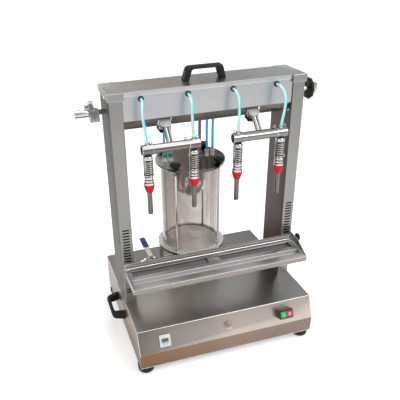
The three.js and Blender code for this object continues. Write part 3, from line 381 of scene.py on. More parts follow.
def moulded(name, tone, roughness=0.42, grain=900, depth=0.08, gloss=0.5):
    """Moulded plastic or rubber: a fine skin with dust and rubbed places."""
    look = Look(name, Specular_IOR_Level=gloss)
    skin = look.noise(grain, 2, 0.5)
    dust = look.noise(28, 5, 0.65)
    worn = tuple(c + 0.006 for c in shade(tone, 1.15))
    look.colour(look.ramp(dust, (0.32, shade(tone, 0.8)), (0.6, tone), (0.8, worn)))
    rubbed = look.span(dust, roughness - 0.08, roughness + 0.1)
    look.rough(look.math("ADD", rubbed, look.span(skin, -0.03, 0.03)))
    look.bump(skin, depth, 0.0003)
    return look.material


def hose(name, tone, clear, roughness=0.2):
    """Coloured plastic tube that lets some light through."""
    look = Look(name, Subsurface_Weight=0.15, Transmission_Weight=clear, IOR=1.46, Coat_Weight=0.4,
                Coat_Roughness=0.12, Subsurface_Radius=(0.004, 0.004, 0.004))
    cloud = look.noise(40, 3, 0.6)
    draw = look.noise(700, 2, 0.5, (1, 1, 0.1))
    look.colour(look.ramp(cloud, (0.3, shade(tone, 0.9)), (0.7, shade(tone, 1.08))))
    look.rough(look.span(draw, roughness - 0.04, roughness + 0.08))
    look.bump(draw, 0.05, 0.0002)
    return look.material


def clear_glass(name):
    """Vessel wall: clear and greyish with smears, its tone painted with reflections in upright streaks,
    darker toward the lid, the left and the rear.
    """
    look = Look(name, Transmission_Weight=1, IOR=1.45)
    smear = look.noise(14, 5, 0.65, (1, 1, 0.35))
    # painted reflections: upright streaks in the tone
    reflection_streak = look.noise(42, 3, 0.6, (1, 1, 0.04))
    wall = look.ramp(reflection_streak, (0.32, (0.86, 0.845, 0.835)), (0.68, 1))
    # painted reflections darken the wall toward the lid and on its left
    upward = ((0.8, 0.785, 0.77), (0.7, 0.67, 0.655), (0.6, 0.565, 0.55))
    wall = look.drift(wall, 2, upward, GLASS_LOW * TO_M, GLASS_HIGH * TO_M)
    across = ((0.6, 0.56, 0.54), (0.86, 0.84, 0.83), 1, 1, (0.94, 0.95, 0.97))
    wall = look.drift_vessel(wall, 0, across, GLASS_RADIUS)
    # painted light: the rear half is tinted darker and the front above one, so more light passes to the
    # pieces inside
    look.colour(look.drift_vessel(wall, 1, (1.22, 1.22, 1, 0.76, 0.76), GLASS_RADIUS))
    look.rough(look.span(smear, 0, 0.05, 0.5, 0.8))
    # lamps shine through the wall on to the float, the rods and the floor
    passing = look.node("BsdfTransparent", Color=(0.9, 0.89, 0.88, 1))
    rays = look.node("LightPath")
    both = look.node("MixShader")
    look.link(rays.outputs["Is Shadow Ray"], both.inputs[0])
    look.link(look.shader.outputs[0], both.inputs[1])
    look.link(passing.outputs[0], both.inputs[2])
    look.link(both.outputs[0], look.tree.nodes["Material Output"].inputs["Surface"])
    return look.material


# the grain's scale along and across the brushing
LONG, UPRIGHT, DEEP = (3, 900, 900), (900, 900, 3), (900, 3, 900)
TUBE_GRAIN, NEEDLE_GRAIN, EVEN_GRAIN = (8, 1200, 1200), (500, 500, 4), (400, 400, 400)

# sheet steel
# painted light: the base's sheet in lit and shaded tones by face direction, their drifts painted reflections
steel_front_painted_reflections = brushed("sheet, leaning front, painted reflections", (0.44, 0.415, 0.39), LONG, 0.32,
    ((0.50, 0.475, 0.44), (1.03, 0.98, 0.93), (1.12, 1.03, 0.96)))
steel_top_painted_light = brushed("sheet, upper faces, painted light", (0.36, 0.35, 0.335), LONG, 0.3,
    ((1.55, 1.48, 1.44), 1.5, (1, 0.98, 0.96)), (1.1, 0.95, (0.48, 0.47, 0.46)))
steel_strip_painted_reflection = brushed("sheet, below the fold, painted floor reflection", (0.26, 0.2, 0.16), LONG, 0.34,
    ((0.8, 0.6, 0.42), (1, 0.92, 0.88), (0.8, 0.84, 0.95)))
steel_left_painted_shade = brushed("sheet, left faces, painted shade", (0.28, 0.225, 0.18), DEEP, 0.34)
steel_right = brushed("sheet, right faces", (0.40, 0.385, 0.37), DEEP, 0.34)
steel_back = brushed("sheet, back", (0.42, 0.405, 0.39), LONG, 0.36)
# the posts' sheet: painted shade on their sides, darkest on the faces that face left
steel_post = brushed("sheet, post fronts", (0.265, 0.258, 0.25), UPRIGHT)
steel_post_side_painted_shade = brushed("sheet, post sides, painted shade", (0.22, 0.215, 0.205), UPRIGHT)
steel_post_left_painted_shade = brushed("sheet, left post's outer face, painted shade", (0.064, 0.064, 0.057), UPRIGHT, 0.5, metal=0.2)
steel_post_inner_painted_shade = brushed("sheet, right post's inner face, painted shade", (0.1, 0.07, 0.06), UPRIGHT, 0.5, metal=0.2)
# painted reflections on the beam's top, warm on the left and cool on the right, and painted shade on its ends
steel_beam_top_painted_reflections = brushed("sheet, beam top, painted reflections", (0.38, 0.365, 0.35), LONG, 0.26,
    ((1.65, 1.6, 1.52), (1.07, 1.06, 1), (1.5, 1.65, 1.85)))
steel_beam_ends_painted_shade = brushed("sheet, beam ends, painted shade", (0.165, 0.162, 0.157), UPRIGHT)
# painted highlight along the broken folds and the bars' rims
painted_edge_highlight = polished("painted highlight on folds", (1, 0.99, 0.97), 0.3, 30)
cap_front = brushed("sheet, beam cap's front", (0.42, 0.42, 0.425), LONG)
cap_end = brushed("sheet, beam cap over the posts", (0.3, 0.3, 0.3), LONG)
panel_steel = brushed("beam panel sheet", (0.43, 0.44, 0.45), LONG)
# painted shade on the panel's lower flange
flange_painted_shade = brushed("beam panel's lower flange, painted shade", (0.173, 0.153, 0.14), LONG, 0.28)
shelf_steel = brushed("shelf sheet", (0.40, 0.385, 0.37), LONG, 0.28)
# painted light on the shelf's upper faces and the trough's rear wall, painted shade on the lip's front face
shelf_top_painted_light = brushed("shelf sheet, upper faces, painted light", (0.62, 0.61, 0.6), LONG)
shelf_lip = brushed("shelf sheet, front face, painted shade", (0.292, 0.256, 0.24), LONG, 0.28)
shelf_wall_painted_light = brushed("shelf sheet, trough's rear wall, painted light", (0.5, 0.49, 0.48), LONG, 0.4, metal=0.2)
rib_steel = polished("drip sheet steel", (0.55, 0.54, 0.545), 0.35, 120)

# bars, rods, springs and turned pieces
# painted reflection on the bars' upper halves, a painted highlight line and painted shade on their lower
# halves
left_bar_painted_reflection = brushed("left bar, upper half, painted reflection", (0.41, 0.402, 0.4), TUBE_GRAIN)
right_bar_painted_reflection = brushed("right bar, upper half, painted reflection", (0.175, 0.174, 0.173), TUBE_GRAIN)
bar_painted_highlight = polished("bar, painted highlight line", (0.85, 0.83, 0.8), 0.2, 40)
bar_lower_painted_shade = brushed("bar, lower half, painted shade", (0.24, 0.225, 0.21), TUBE_GRAIN, 0.26)
bar_shade = brushed("bar, shaded lower half", (0.17, 0.157, 0.145), TUBE_GRAIN, 0.26)
spring_steel = polished("spring wire", (0.44, 0.43, 0.425), 0.14, 90)
needle_steel = brushed("drawn needle tube", (0.145, 0.128, 0.118), NEEDLE_GRAIN, 0.22)
grip_shade = polished("lever grip's underside", (0.16, 0.15, 0.14), 0.2, 40)
# painted light on the arm block's front face
block_face_painted_light = brushed("arm block, front face, painted light", (0.36, 0.35, 0.34), EVEN_GRAIN, 0.35, metal=0.25)
clamp_steel = polished("lever clamp", (0.26, 0.25, 0.245), 0.2, 50)
chrome = polished("polished steel", (0.58, 0.565, 0.55), 0.12, 20)
# bright screw steel, also a painted highlight on the ledge's fold and the clamp lever's edges
bright_steel_and_highlight = polished("bright screw steel, also painted highlight", (0.95, 0.95, 0.94), 0.2, 60)
machined = polished("machined steel", (0.42, 0.405, 0.39), 0.22, 22)
brass_dull = polished("bleed knob metal", (0.5, 0.45, 0.38), 0.22, 60)
cast = polished("cast pump body", (0.2, 0.21, 0.22), 0.5, 200)

# the vessel
# the vessel glass carries painted reflections and painted light in its tone
glass = clear_glass("vessel glass")
# the float's tone carries painted reflections
mirror = mirror_ball("float, polished with painted reflections")
# painted reflections: the lid's tone is bright on the left and darkens to the right
lid_steel = turned_steel("turned lid steel, painted reflections", (0.27, 0.245, 0.225), 0.2,
    ((2.75, 2.7, 2.7), (0.6, 0.43, 0.35), (0.36, 0.3, 0.28), (0.23, 0.24, 0.27)))
lid_floor = turned_steel("vessel floor steel", (0.92, 0.88, 0.84), 0.2, metal=0.6)
# painted shade on the lid's and flange's upright rims
rim_painted_shade = brushed("lid and flange rims, painted shade", (0.11, 0.098, 0.09), UPRIGHT, 0.24)
# painted light on the tie rods seen through the glass
rod_painted_light = brushed("tie rods seen through the glass, painted light", (0.62, 0.61, 0.61), UPRIGHT, metal=0.35)

# plastics and rubber
dark_groove = moulded("shaded groove", (0.012, 0.011, 0.01), 0.6, 300, 0.05, 0.2)
# painted shade: black on the slots' cut faces and on sheets just behind them
shadow = moulded("painted shade in the slots", (0.006, 0.006, 0.006), 0.9, 300, 0.02, 0.1)
black = moulded("black plastic", (0.009, 0.009, 0.011), 0.45, gloss=0.22)
rubber = moulded("black rubber", (0.018, 0.018, 0.018), 0.7, 500, 0.2, 0.3)
box_black = moulded("switch box plastic", (0.016, 0.016, 0.018), 0.45, 1200, 0.12)
red = moulded("red silicone", (0.64, 0.01, 0.02), 0.5, 400, 0.05, 0.2)
seal = moulded("clear-grey seal", (0.72, 0.7, 0.68), 0.4, 300, 0.05)
air = hose("air tube", (0.1, 0.86, 0.95), 0.2)
air_light = hose("air tube, lit side", (0.78, 0.99, 1), 0.2)
blue = hose("vessel tube", (0.02, 0.6, 0.94), 0.1)
grey = moulded("grey hose", (0.2, 0.19, 0.185), 0.45, 300, 0.1)
navy = moulded("navy dipped grip", (0.018, 0.026, 0.15), 0.3, 200, 0.06)
white = moulded("white plastic", (0.74, 0.75, 0.77), 0.35, 900, 0.06)
green_key = moulded("green key", (0.01, 0.45, 0.13), 0.3, 900, 0.05)
red_key = moulded("red key", (0.66, 0.02, 0.075), 0.3, 900, 0.05)
fitting_white = moulded("pale fitting body", (0.95, 0.92, 0.88), 0.3, 700, 0.05)
green_cap = moulded("green fitting collar", (0.01, 0.34, 0.19), 0.35, 600, 0.04)
pink_cap = moulded("pale fitting collar", (0.72, 0.55, 0.55), 0.35, 600, 0.04)
gauge_face = moulded("gauge face", (0.74, 0.77, 0.82), 0.3, 900, 0.04)
display = moulded("liquid display", (0.16, 0.17, 0.165), 0.12, 900, 0.02)
strip_blue = moulded("gauge strip", (0.3, 0.46, 0.66), 0.35, 900, 0.04)
grey_key = moulded("gauge key", (0.45, 0.47, 0.5), 0.4, 900, 0.04)
figure_black = moulded("display figures", (0.02, 0.022, 0.022), 0.3, 900, 0.02)
mark_white = moulded("key mark", (0.85, 0.85, 0.85), 0.4, 900, 0.02)


# pieces
def new_mesh(name, bm):
    mesh = bpy.data.meshes.new(name)
    bm.to_mesh(mesh)
    bm.free()
    return mesh


def finish_mesh(name, bm, body, material, angle=38, replaces=None):
    """Turns a bmesh in millimetres into a piece that rides on a body."""
    bmesh.ops.recalc_face_normals(bm, faces=bm.faces)
    mesh = new_mesh(name, bm)
    mesh.transform(Matrix.Scale(TO_M, 4) @ Matrix.Translation(SHIFT))
    return finish_piece(name, mesh, body, material, angle, replaces)


def finish_piece(name, mesh, body, material, angle, replaces):
    piece = new_object(name, mesh)
    mesh.materials.clear()
    mesh.materials.append(material)
    smooth(mesh, angle)
    if body:
        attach(piece, body)
    if replaces:
        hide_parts(replaces)
    return piece


def smooth(mesh, angle):
    mesh.shade_smooth()
    mesh.set_sharp_from_angle(angle=radians(angle))


def refinish(piece, material, chosen):
    """Gives a second finish to the faces that chosen picks."""
    piece.data.materials.append(material)
    for face in piece.data.polygons:
        face.material_index = int(chosen(face))


def copy_of(node, name, material, body, bevel=0.8, segments=2, slot=None, skin=None, edge=None, least=0):
    """The CAD node's own shape with its edges broken, as real sheet and castings have them.

    skin picks a face's finish by its direction and place, the painted light and shade of the sheet; edge is
    the painted highlight along the broken edges, and edges shorter than least stay sharp.
    """
    bm = bmesh.new()
    bm.from_mesh(nodes[node].data)
    bmesh.ops.remove_doubles(bm, verts=bm.verts, dist=2e-6)
    bmesh.ops.dissolve_limit(bm, angle_limit=radians(0.5), verts=bm.verts, edges=bm.edges)
    finishes = [material] + ([edge] if edge else [])
    for face in bm.faces:
        place = face.calc_center_median() * TO_MM - SHIFT
        chosen = skin(face.normal, place) if skin else material
        if chosen not in finishes:
            finishes.append(chosen)
        face.material_index = finishes.index(chosen)
    sharp = [e for e in bm.edges if len(e.link_faces) == 2 and e.calc_face_angle() > radians(40)
             and e.calc_length() * TO_MM >= least]
    bmesh.ops.bevel(bm, geom=sharp, offset=bevel * TO_M, segments=segments, profile=0.6, affect="EDGES",
                    clamp_overlap=True, harden_normals=False, material=1 if edge else -1)
    bmesh.ops.triangulate(bm, faces=[f for f in bm.faces if len(f.verts) > 4])
    mesh = new_mesh(name, bm)
    picked = [polygon.material_index for polygon in mesh.polygons]
    piece = finish_piece(name, mesh, body, material, 30, node)
    for finish in finishes[1:]:
        mesh.materials.append(finish)
    mesh.polygons.foreach_set("material_index", picked)
    return piece


def paint(name, material):
    for slot in nodes[name].material_slots:
        slot.material = material


def join_rings(bm, rings):
    """Faces from each ring of vertices to the next, where a ring of one vertex is a tip."""
    for low, high in zip(rings, rings[1:]):
        sides = max(len(low), len(high))
        for i in range(sides):
            j = (i + 1) % sides
            if len(low) == 1:
                bm.faces.new((low[0], high[j], high[i]))
            elif len(high) == 1:
                bm.faces.new((low[i], low[j], high[0]))
            else:
                bm.faces.new((low[i], low[j], high[j], high[i]))


def close_ends(bm, rings):
    bm.faces.new(rings[0][::-1])
    bm.faces.new(rings[-1])


def circle(steps):
    """Evenly spaced angles."""
    return [2 * pi * k / steps for k in range(steps)]


UP = Matrix.Identity(3)
ALONG_X = Matrix.Rotation(pi / 2, 3, "Y")


def turned_mesh(bm, profile, origin, turn=UP, sides=32):
    """A profile of (radius, height) pairs turned about an axis through origin."""
    rings = []
    for radius, height in profile:
        points = [(radius * cos(t), radius * sin(t), height) for t in circle(sides if radius else 1)]
        rings.append([bm.verts.new(Vector(origin) + turn @ Vector(point)) for point in points])
    join_rings(bm, rings)
    return rings


def turned(name, profile, origin, body, material, sides=32, angle=38, replaces=None, turn=UP):
    """A piece that is one turned profile."""
    bm = bmesh.new()
    turned_mesh(bm, profile, origin, turn, sides)
    return finish_mesh(name, bm, body, material, angle, replaces)


def fluted(bm, profile, origin, turn, flutes, depth):
    """A turned profile whose outer rings are scalloped, as on a moulded hand knob."""
    sides = flutes * 8
    rings = turned_mesh(bm, [(r, h) for r, h, _ in profile], origin, turn, sides)
    for ring, (r, h, share) in zip(rings, profile):
        if len(ring) == 1 or share == 0:
            continue
        centre = sum((v.co for v in ring), Vector()) / len(ring)
        for i, v in enumerate(ring):
            dip = depth * share * (0.5 - 0.5 * cos(2 * pi * flutes * i / sides)) ** 2
            v.co -= (v.co - centre).normalized() * dip


def hexagon(bm, origin, across, height):
    """A nut with both its rims chamfered."""
    corner = across / sqrt(3)
    rim = corner * 0.93
    profile = [(rim, 0), (corner, 0.6), (corner, height - 0.6), (rim, height)]
    close_ends(bm, turned_mesh(bm, profile, origin, sides=6))


def drawn_out(bm, profile, reach, closed):
    """A profile of (y, z) pairs drawn out along X, reach to either side."""
    sides = [[bm.verts.new((x, y, z)) for y, z in profile] for x in (-reach, reach)]
    if closed:
        close_ends(bm, sides)
        for side in sides:
            side.append(side[0])
    left, right = sides
    for k in range(len(left) - 1):
        bm.faces.new((left[k], left[k + 1], right[k + 1], right[k]))


def add_box(bm, x, y, z, bevel=0, segments=2):
    made = bmesh.ops.create_cube(bm, size=1)["verts"]
    for v in made:
        v.co = Vector([(low + high) / 2 + at * (high - low) for at, (low, high) in zip(v.co, (x, y, z))])
    if bevel:
        edges = list({e for v in made for e in v.link_edges})
        out = bmesh.ops.bevel(bm, geom=edges, offset=bevel, segments=segments, profile=0.5, affect="EDGES",
                              clamp_overlap=True)
        made = list({v for f in out["faces"] for v in f.verts} | {v for v in made if v.is_valid})
    return made


def sweep(bm, points, radius, sides=16, caps=True):
    """A round tube along points, with rings turned as little as possible from one to the next."""
    points = [Vector(p) for p in points]
    side = (points[1] - points[0]).normalized().orthogonal().normalized()
    last = len(points) - 1
    rings = []
    for i, point in enumerate(points):
        along = (points[min(i + 1, last)] - points[max(i - 1, 0)]).normalized()
        side = (side - along * side.dot(along)).normalized()
        other = along.cross(side)
        size = radius[i] if isinstance(radius, (list, tuple)) else radius
        rings.append([bm.verts.new(point + (side * cos(t) + other * sin(t)) * size)
                      for t in circle(sides)])
    join_rings(bm, rings)
    if caps:
        close_ends(bm, rings)


def between(a, b, start, end, t):
    return a * ((end - t) / (end - start)) + b * ((t - start) / (end - start))


def smooth_path(points, steps):
    """Centripetal Catmull-Rom through points, as the CAD tubes follow, evenly spaced."""
    points = [Vector(p) for p in points]
    points = [points[0] * 2 - points[1], *points, points[-1] * 2 - points[-2]]
    fine = 24
    dense = []
    for i in range(1, len(points) - 2):
        p0, p1, p2, p3 = points[i - 1:i + 3]
        t1 = sqrt((p1 - p0).length)
        t2 = t1 + sqrt((p2 - p1).length)
        t3 = t2 + sqrt((p3 - p2).length)
        for k in range(fine):
            t = t1 + (t2 - t1) * k / fine
            a1 = between(p0, p1, 0, t1, t)
            a2 = between(p1, p2, t1, t2, t)
            a3 = between(p2, p3, t2, t3, t)
            b1 = between(a1, a2, 0, t2, t)
            b2 = between(a2, a3, t1, t3, t)
            dense.append(between(b1, b2, t1, t2, t))
    dense.append(points[-2])
    lengths = [0]
    for a, b in zip(dense, dense[1:]):
        lengths.append(lengths[-1] + (b - a).length)
    found = []
    at = 0
    for k in range(steps + 1):
        goal = lengths[-1] * k / steps
        while at < len(dense) - 2 and lengths[at + 1] < goal:
            at += 1
        share = (goal - lengths[at]) / max(1e-9, lengths[at + 1] - lengths[at])
        found.append(dense[at].lerp(dense[at + 1], min(1, share)))
    return found, lengths[-1]


# air tubes, the flexible pieces: each point's sideways bow, share of the way out and share of the way down
AIR_WAYS = [
    [(-2.5, 0.52, 0.035), (-6.5, 0.83, 0.15), (-7.5, 0.95, 0.36), (-4.5, 0.99, 0.62), (-1.5, 1, 0.86)],
    [(-1.5, 0.52, 0.035), (-3, 0.83, 0.15), (-3.5, 0.96, 0.36), (-3, 1, 0.62), (-1.5, 1, 0.86)],
    [(0, 0.52, 0.035), (1, 0.83, 0.15), (1, 0.96, 0.36), (0.5, 1, 0.62), (0, 1, 0.86)],
    [(1.5, 0.52, 0.02), (4.5, 0.9, 0.12), (6, 1.08, 0.31), (4.5, 1.1, 0.52), (1.5, 1.04, 0.78)],
]
AIR_RADIUS = 4
AIR_LIT_SIDE = Vector((-0.72, -0.55, 0.42))


def air_tubes():
    forward, fall = NOZZLE_Y - PANEL_FRONT, HEAD_TOP - GROMMET_Z
    for n, (x, way) in enumerate(zip(NOZZLES, AIR_WAYS), 1):
        free = [(x + bow, PANEL_FRONT + forward * out, GROMMET_Z + fall * drop) for bow, out, drop in way]
        route = [(x, PANEL_FRONT + 12, GROMMET_Z), (x, PANEL_FRONT - 4, GROMMET_Z), *free,
                 (x, NOZZLE_Y, HEAD_TOP + 4), (x, NOZZLE_Y, HEAD_TOP)]
        points, length = smooth_path(route, 36)
        bm = bmesh.new()
        sweep(bm, points, AIR_RADIUS, 20)
        tube = finish_mesh(f"air_tube_{n}_skin", bm, None, air, 60, f"air_tube_{n}")
        refinish(tube, air_light, lambda face: face.normal.dot(AIR_LIT_SIDE) > 0.7)
        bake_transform(tube)


air_tubes()


# sheet metal with its folds broken
# the base's faces by direction: painted light and reflections on the top and the leaning front, painted shade
# on the left, a painted floor reflection below the fold
def base_skin(out, place):
    if out.z > 0.9:
        return steel_top_painted_light
    if out.x < -0.7:
        return steel_left_painted_shade
    if out.x > 0.7:
        return steel_right
    if out.y < -0.5:
        return steel_front_painted_reflections if out.z > 0.1 else steel_strip_painted_reflection
    return steel_back


# painted shade on the posts' sides, darkest on the faces that face left
def post_skin(left_face_painted_shade):
    def skin(out, place):
        # the slots' cut faces are painted shade
        in_slot = abs(out.y) < 0.5 and place.y < POST_FRONT + 3 and place.z < SLOTS_TOP
        if in_slot:
            return shadow
        if out.y < -0.7:
            return steel_post
        return left_face_painted_shade if out.x < -0.7 else steel_post_side_painted_shade
    return skin


# the cap: painted reflections on the top, painted shade on the ends, and a darker front over the posts
def cap_skin(out, place):
    if out.z > 0.7:
        return steel_beam_top_painted_reflections
    if out.y < -0.7:
        return cap_end if abs(place.x) > CAP_OVER_POST else cap_front
    return steel_beam_ends_painted_shade


# painted shade on the panel's lower flange and its downward faces
def panel_skin(out, place):
    return flange_painted_shade if place.z < PANEL_BEND or out.z < -0.3 else panel_steel


# painted light on the shelf's upper faces and the trough's rear wall, painted shade on the lip's front face
def shelf_skin(out, place):
    if out.y < -0.7 and place.y < SHELF_LIP:
        return shelf_lip
    if out.y < -0.7 and TROUGH_WALL[0] < place.y < TROUGH_WALL[1]:
        return shelf_wall_painted_light
    return shelf_top_painted_light if out.z > 0.5 else shelf_steel


def sheet_metal():
    # the folds' broken edges carry a painted highlight
    fold = {"edge": painted_edge_highlight, "least": 60}
    copy_of("base_housing", "base_shell", steel_back, "frame", 1.9, 3, skin=base_skin, **fold)
    for side, left_face_painted_shade, bevel in (("left", steel_post_left_painted_shade, 0.7), ("right", steel_post_inner_painted_shade, 0.9)):
        copy_of(f"{side}_post", f"{side}_post_tube", steel_post, "frame", bevel, skin=post_skin(left_face_painted_shade),
                **fold)
    copy_of("beam_cover", "beam_cap", cap_front, "frame", 1.1, skin=cap_skin, edge=painted_edge_highlight, least=24)
    copy_of("beam_front_panel", "beam_panel", panel_steel, "frame", 0.5, skin=panel_skin, least=60)
    plate = copy_of("bottle_shelf", "shelf_plate", shelf_steel, "shelf", skin=shelf_skin, **fold)
    # the plate's back runs just clear of the posts, so it slides up over the slots
    clear = world(0, POST_FRONT - SLIDE_GAP, 0).y
    for v in plate.data.vertices:
        v.co.y = min(v.co.y, clear)
    # black sheets just behind the slots: painted shade in the posts' hollows
    behind = POST_FRONT + WALL_BEHIND
    for side, post in ((-1, "left"), (1, "right")):
        x = side * SLOTS_MIDDLE
        bm = bmesh.new()
        for run in SLOT_RUNS:
            add_box(bm, (x - SLOTS_HALF_WIDTH, x + SLOTS_HALF_WIDTH), (behind, behind + SHADE_SHEET_THICK), run)
        finish_mesh(f"{post}_slot_shade_sheet", bm, "frame", shadow)


# filling nozzles
def spring_coil(n, x):
    """A coil with closed ends between bar and seat."""
    low = SPRING_LOW + WIRE_RADIUS
    high = SPRING_HIGH - WIRE_RADIUS
    points = []
    for k in range(int(COIL_TURNS * COIL_STEPS) + 1):
        turn = k / COIL_STEPS
        share = turn / COIL_TURNS
        eased = share - 0.018 * sin(2 * pi * share)
        angle = 2 * pi * turn
        points.append((x + COIL_RADIUS * cos(angle), NOZZLE_Y + COIL_RADIUS * sin(angle),
                       low + (high - low) * eased))
    bm = bmesh.new()
    sweep(bm, points, WIRE_RADIUS, 10)
    coil = finish_mesh(f"spring_coil_{n}", bm, CARRIER, spring_steel, 60, f"nozzle_spring_{n}")
    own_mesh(coil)


def darken(piece, x, radius):
    """Shades a nozzle piece's faces within a radius of the needle's axis."""
    axis = world(x, NOZZLE_Y, 0).xy
    refinish(piece, dark_groove, lambda face: (face.center.xy - axis).length * TO_MM < radius)


def spring_seat(n, x):
    seat = turned(f"spring_seat_{n}", [
        (7.5, 0), (12.6, 0), (14, 0.5), (14.6, 2.4), (14.2, 4.6), (12.8, 5.7), (10.6, 6.2), (10.6, 7.2),
        (12, 7.8), (12.9, 9.6), (12.9, 12.2), (12, 14), (10.4, 14.6), (10.4, 15.6), (11.6, 16.2),
        (12.3, 17.8), (12.3, 21.6), (11.5, 23.2), (10.2, 23.8), (10.2, 25), (13, 25.4), (13.8, 26.2),
        (13.8, 28.2), (13.2, 29), (7.5, 29), (7.5, 0),
    ], (x, NOZZLE_Y, SEAT_LOW), f"cone_{n}", chrome, 40, 40, f"nozzle_seat_{n}")
    darken(seat, x, 11)


def sealing_cone(n, x):
    turned(f"sealing_cone_{n}", [
        (7.5, 0.4), (7.8, 0), (8.1, 0.1), (8.6, 0.9), (10.2, 4.4), (12.2, 10), (13.7, 15.6), (14.4, 20),
        (14.6, 23), (14.3, 24.4), (13.6, 25), (8, 25), (7.5, 24.5), (7.5, 0.4),
    ], (x, NOZZLE_Y, CONE_LOW), f"cone_{n}", red, 48, 50, f"nozzle_cone_{n}")


def needle(n, x):
    """A drawn tube with its bore open and its rim rounded, shaded where the coil surrounds it."""
    tube = turned(f"needle_{n}", [
        (5.4, 60), (5.4, 0.5), (5.7, 0), (6.6, 0), (7, 0.5), (7, 60), (7, 119), (7, 176),
    ], (x, NOZZLE_Y, NEEDLE_LOW), CARRIER, needle_steel, 36, 50)
    refinish(tube, dark_groove, lambda face: face.center.z > SPRING_LOW * TO_M)


def top_collar(n, x):
    collar = turned(f"top_collar_{n}", [
        (7.05, 0), (11.4, 0), (12.8, 1.2), (13.2, 3.4), (13, 6.4), (12.2, 9), (10.8, 10.8), (9.6, 11.6),
        (9.6, 18),
    ], (x, NOZZLE_Y, SPRING_HIGH), CARRIER, chrome, 40)
    darken(collar, x, 10.3)


def tube_fitting(n, x):
    turned(f"tube_fitting_{n}", [
        (7.4, 0), (7.4, 1.6), (6.4, 2.4), (6.4, 4.6), (5.9, 5.6), (4.6, 5.6), (4.3, 5),
    ], (x, NOZZLE_Y, BAR_SEAT), CARRIER, machined)


def nozzles():
    for n, x in enumerate(NOZZLES, 1):
        for part in (spring_coil, spring_seat, sealing_cone, needle, top_collar, tube_fitting):
            part(n, x)


# nozzle bars
# each bar's finishes are painted light: upper half, front line and lower half
BARS = (
    ("left", -209.5, -48.5, (-184, -88.5, -54.5), (left_bar_painted_reflection, left_bar_painted_reflection, bar_shade)),
    ("right", 48.5, 209.5, (54.5, 173, 204), (right_bar_painted_reflection, bar_painted_highlight, bar_lower_painted_shade)),
)
HIGHLIGHT_LOW, HIGHLIGHT_HIGH, REAR_LOW = 21, 33, -120


def round_bar(name, low, high, radius, finishes):
    """A round tube along X whose upper half, front line and lower half each have a finish, picked by how far
    a face turns up from the front: painted reflection above, a painted highlight line and painted shade
    below, with a painted highlight on its rims.
    """
    upper, line, lower = finishes
    rim = radius - 0.7
    profile = [(0, low), (rim, low), (radius, low + 0.7), (radius, high - 0.7), (rim, high), (0, high)]
    tube = turned(name, profile, (0, NOZZLE_Y, BAR_MIDDLE), CARRIER, upper, 60, 30, turn=ALONG_X)
    for finish in (lower, line, painted_edge_highlight):
        tube.data.materials.append(finish)
    for face in tube.data.polygons:
        rise = degrees(atan2(face.normal.z, -face.normal.y))
        if abs(face.normal.x) > 0.3:
            face.material_index = 3
        elif rise > HIGHLIGHT_HIGH or rise < REAR_LOW:
            face.material_index = 0
        else:
            face.material_index = 2 if rise > HIGHLIGHT_LOW else 1
    return tube


def eye_screw(name, x):
    bm = bmesh.new()
    foot = (x, NOZZLE_Y, BAR_SEAT)
    turned_mesh(bm, [(2, -2), (2, 1.6), (3.6, 1.8), (3.6, 2.4), (2.2, 3)], foot, sides=20)
    ring = [(x + 3.6 * cos(t), NOZZLE_Y, BAR_SEAT + 5.8 + 3.6 * sin(t)) for t in circle(24) + [0]]
    sweep(bm, ring, 1.35, 10, caps=False)
    finish_mesh(name, bm, CARRIER, spring_steel, 50)


def bars():
    for name, a, b, eyes, finishes in BARS:
        tube = round_bar(f"{name}_bar_tube", a + 0.2, b - 0.2, BAR_RADIUS, finishes)
        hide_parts(f"{name}_nozzle_bar")
        for k, (low, high) in enumerate(((a, a + SLEEVE_LENGTH), (b - SLEEVE_LENGTH, b)), 1):
            round_bar(f"{name}_bar_sleeve_{k}", low, high, SLEEVE_RADIUS, finishes)
        for k, (x, way) in enumerate(((a, -1), (b, 1)), 1):
            turned(f"{name}_bar_plug_{k}", [(12.4, -1), (12.4, 0.3), (11.4, 0.9), (4, 1.2), (0, 1.25)],
                   (x, NOZZLE_Y, BAR_MIDDLE), CARRIER, black,
                   turn=Matrix.Rotation(way * pi / 2, 3, "Y"))
        for k, x in enumerate(eyes, 1):
            eye_screw(f"{name}_eye_screw_{k}", x)


# shaft, arms and clamps
def arm_skin(out, place):
    """The clamp block's front face gets a paler, less metallic finish as painted light where the panel shades
    it, the rest of the arm is turned.
    """
    return block_face_painted_light if out.y < -0.6 and out.z > 0.6 and place.z > ARM_BLOCK_LOW else machined


def grip_skin(out, place):
    """The turned grip's underside and rear stay darker than its lit top."""
    return grip_shade if place.x < GRIP_START and (out.z < -0.25 or out.y > 0.8) else chrome


def arms_and_shaft():
    for side in ("left", "right"):
        copy_of(f"{side}_arm", f"{side}_arm_forging", machined, CARRIER, 0.9, slot="polished_steel",
                skin=arm_skin)
        copy_of(f"{side}_arm_knob", f"{side}_clamp_knob", black, f"{side}_arm_clamp", 1.2, 3,
                slot="black_plastic")
    copy_of("nozzle_shaft", "shaft_and_grip", chrome, CARRIER, 0.5, slot="polished_steel",
            skin=grip_skin)
    # the clamp lever's broken edges carry a painted highlight
    copy_of("shaft_lever", "shaft_clamp_lever", clamp_steel, CARRIER, slot="polished_steel",
            edge=bright_steel_and_highlight)
    copy_of("lock_disc", "lock_wheel", black, "shaft_lock", 1, 3, slot="black_plastic")


# overflow vessel
REACH = ROD_CIRCLE / sqrt(2)
ROD_PLACES = [(x * REACH, VESSEL_Y + y * REACH) for x, y in ((-1, -1), (1, -1), (1, 1), (-1, 1))]
VESSEL_CENTRE = (0, VESSEL_Y, 0)


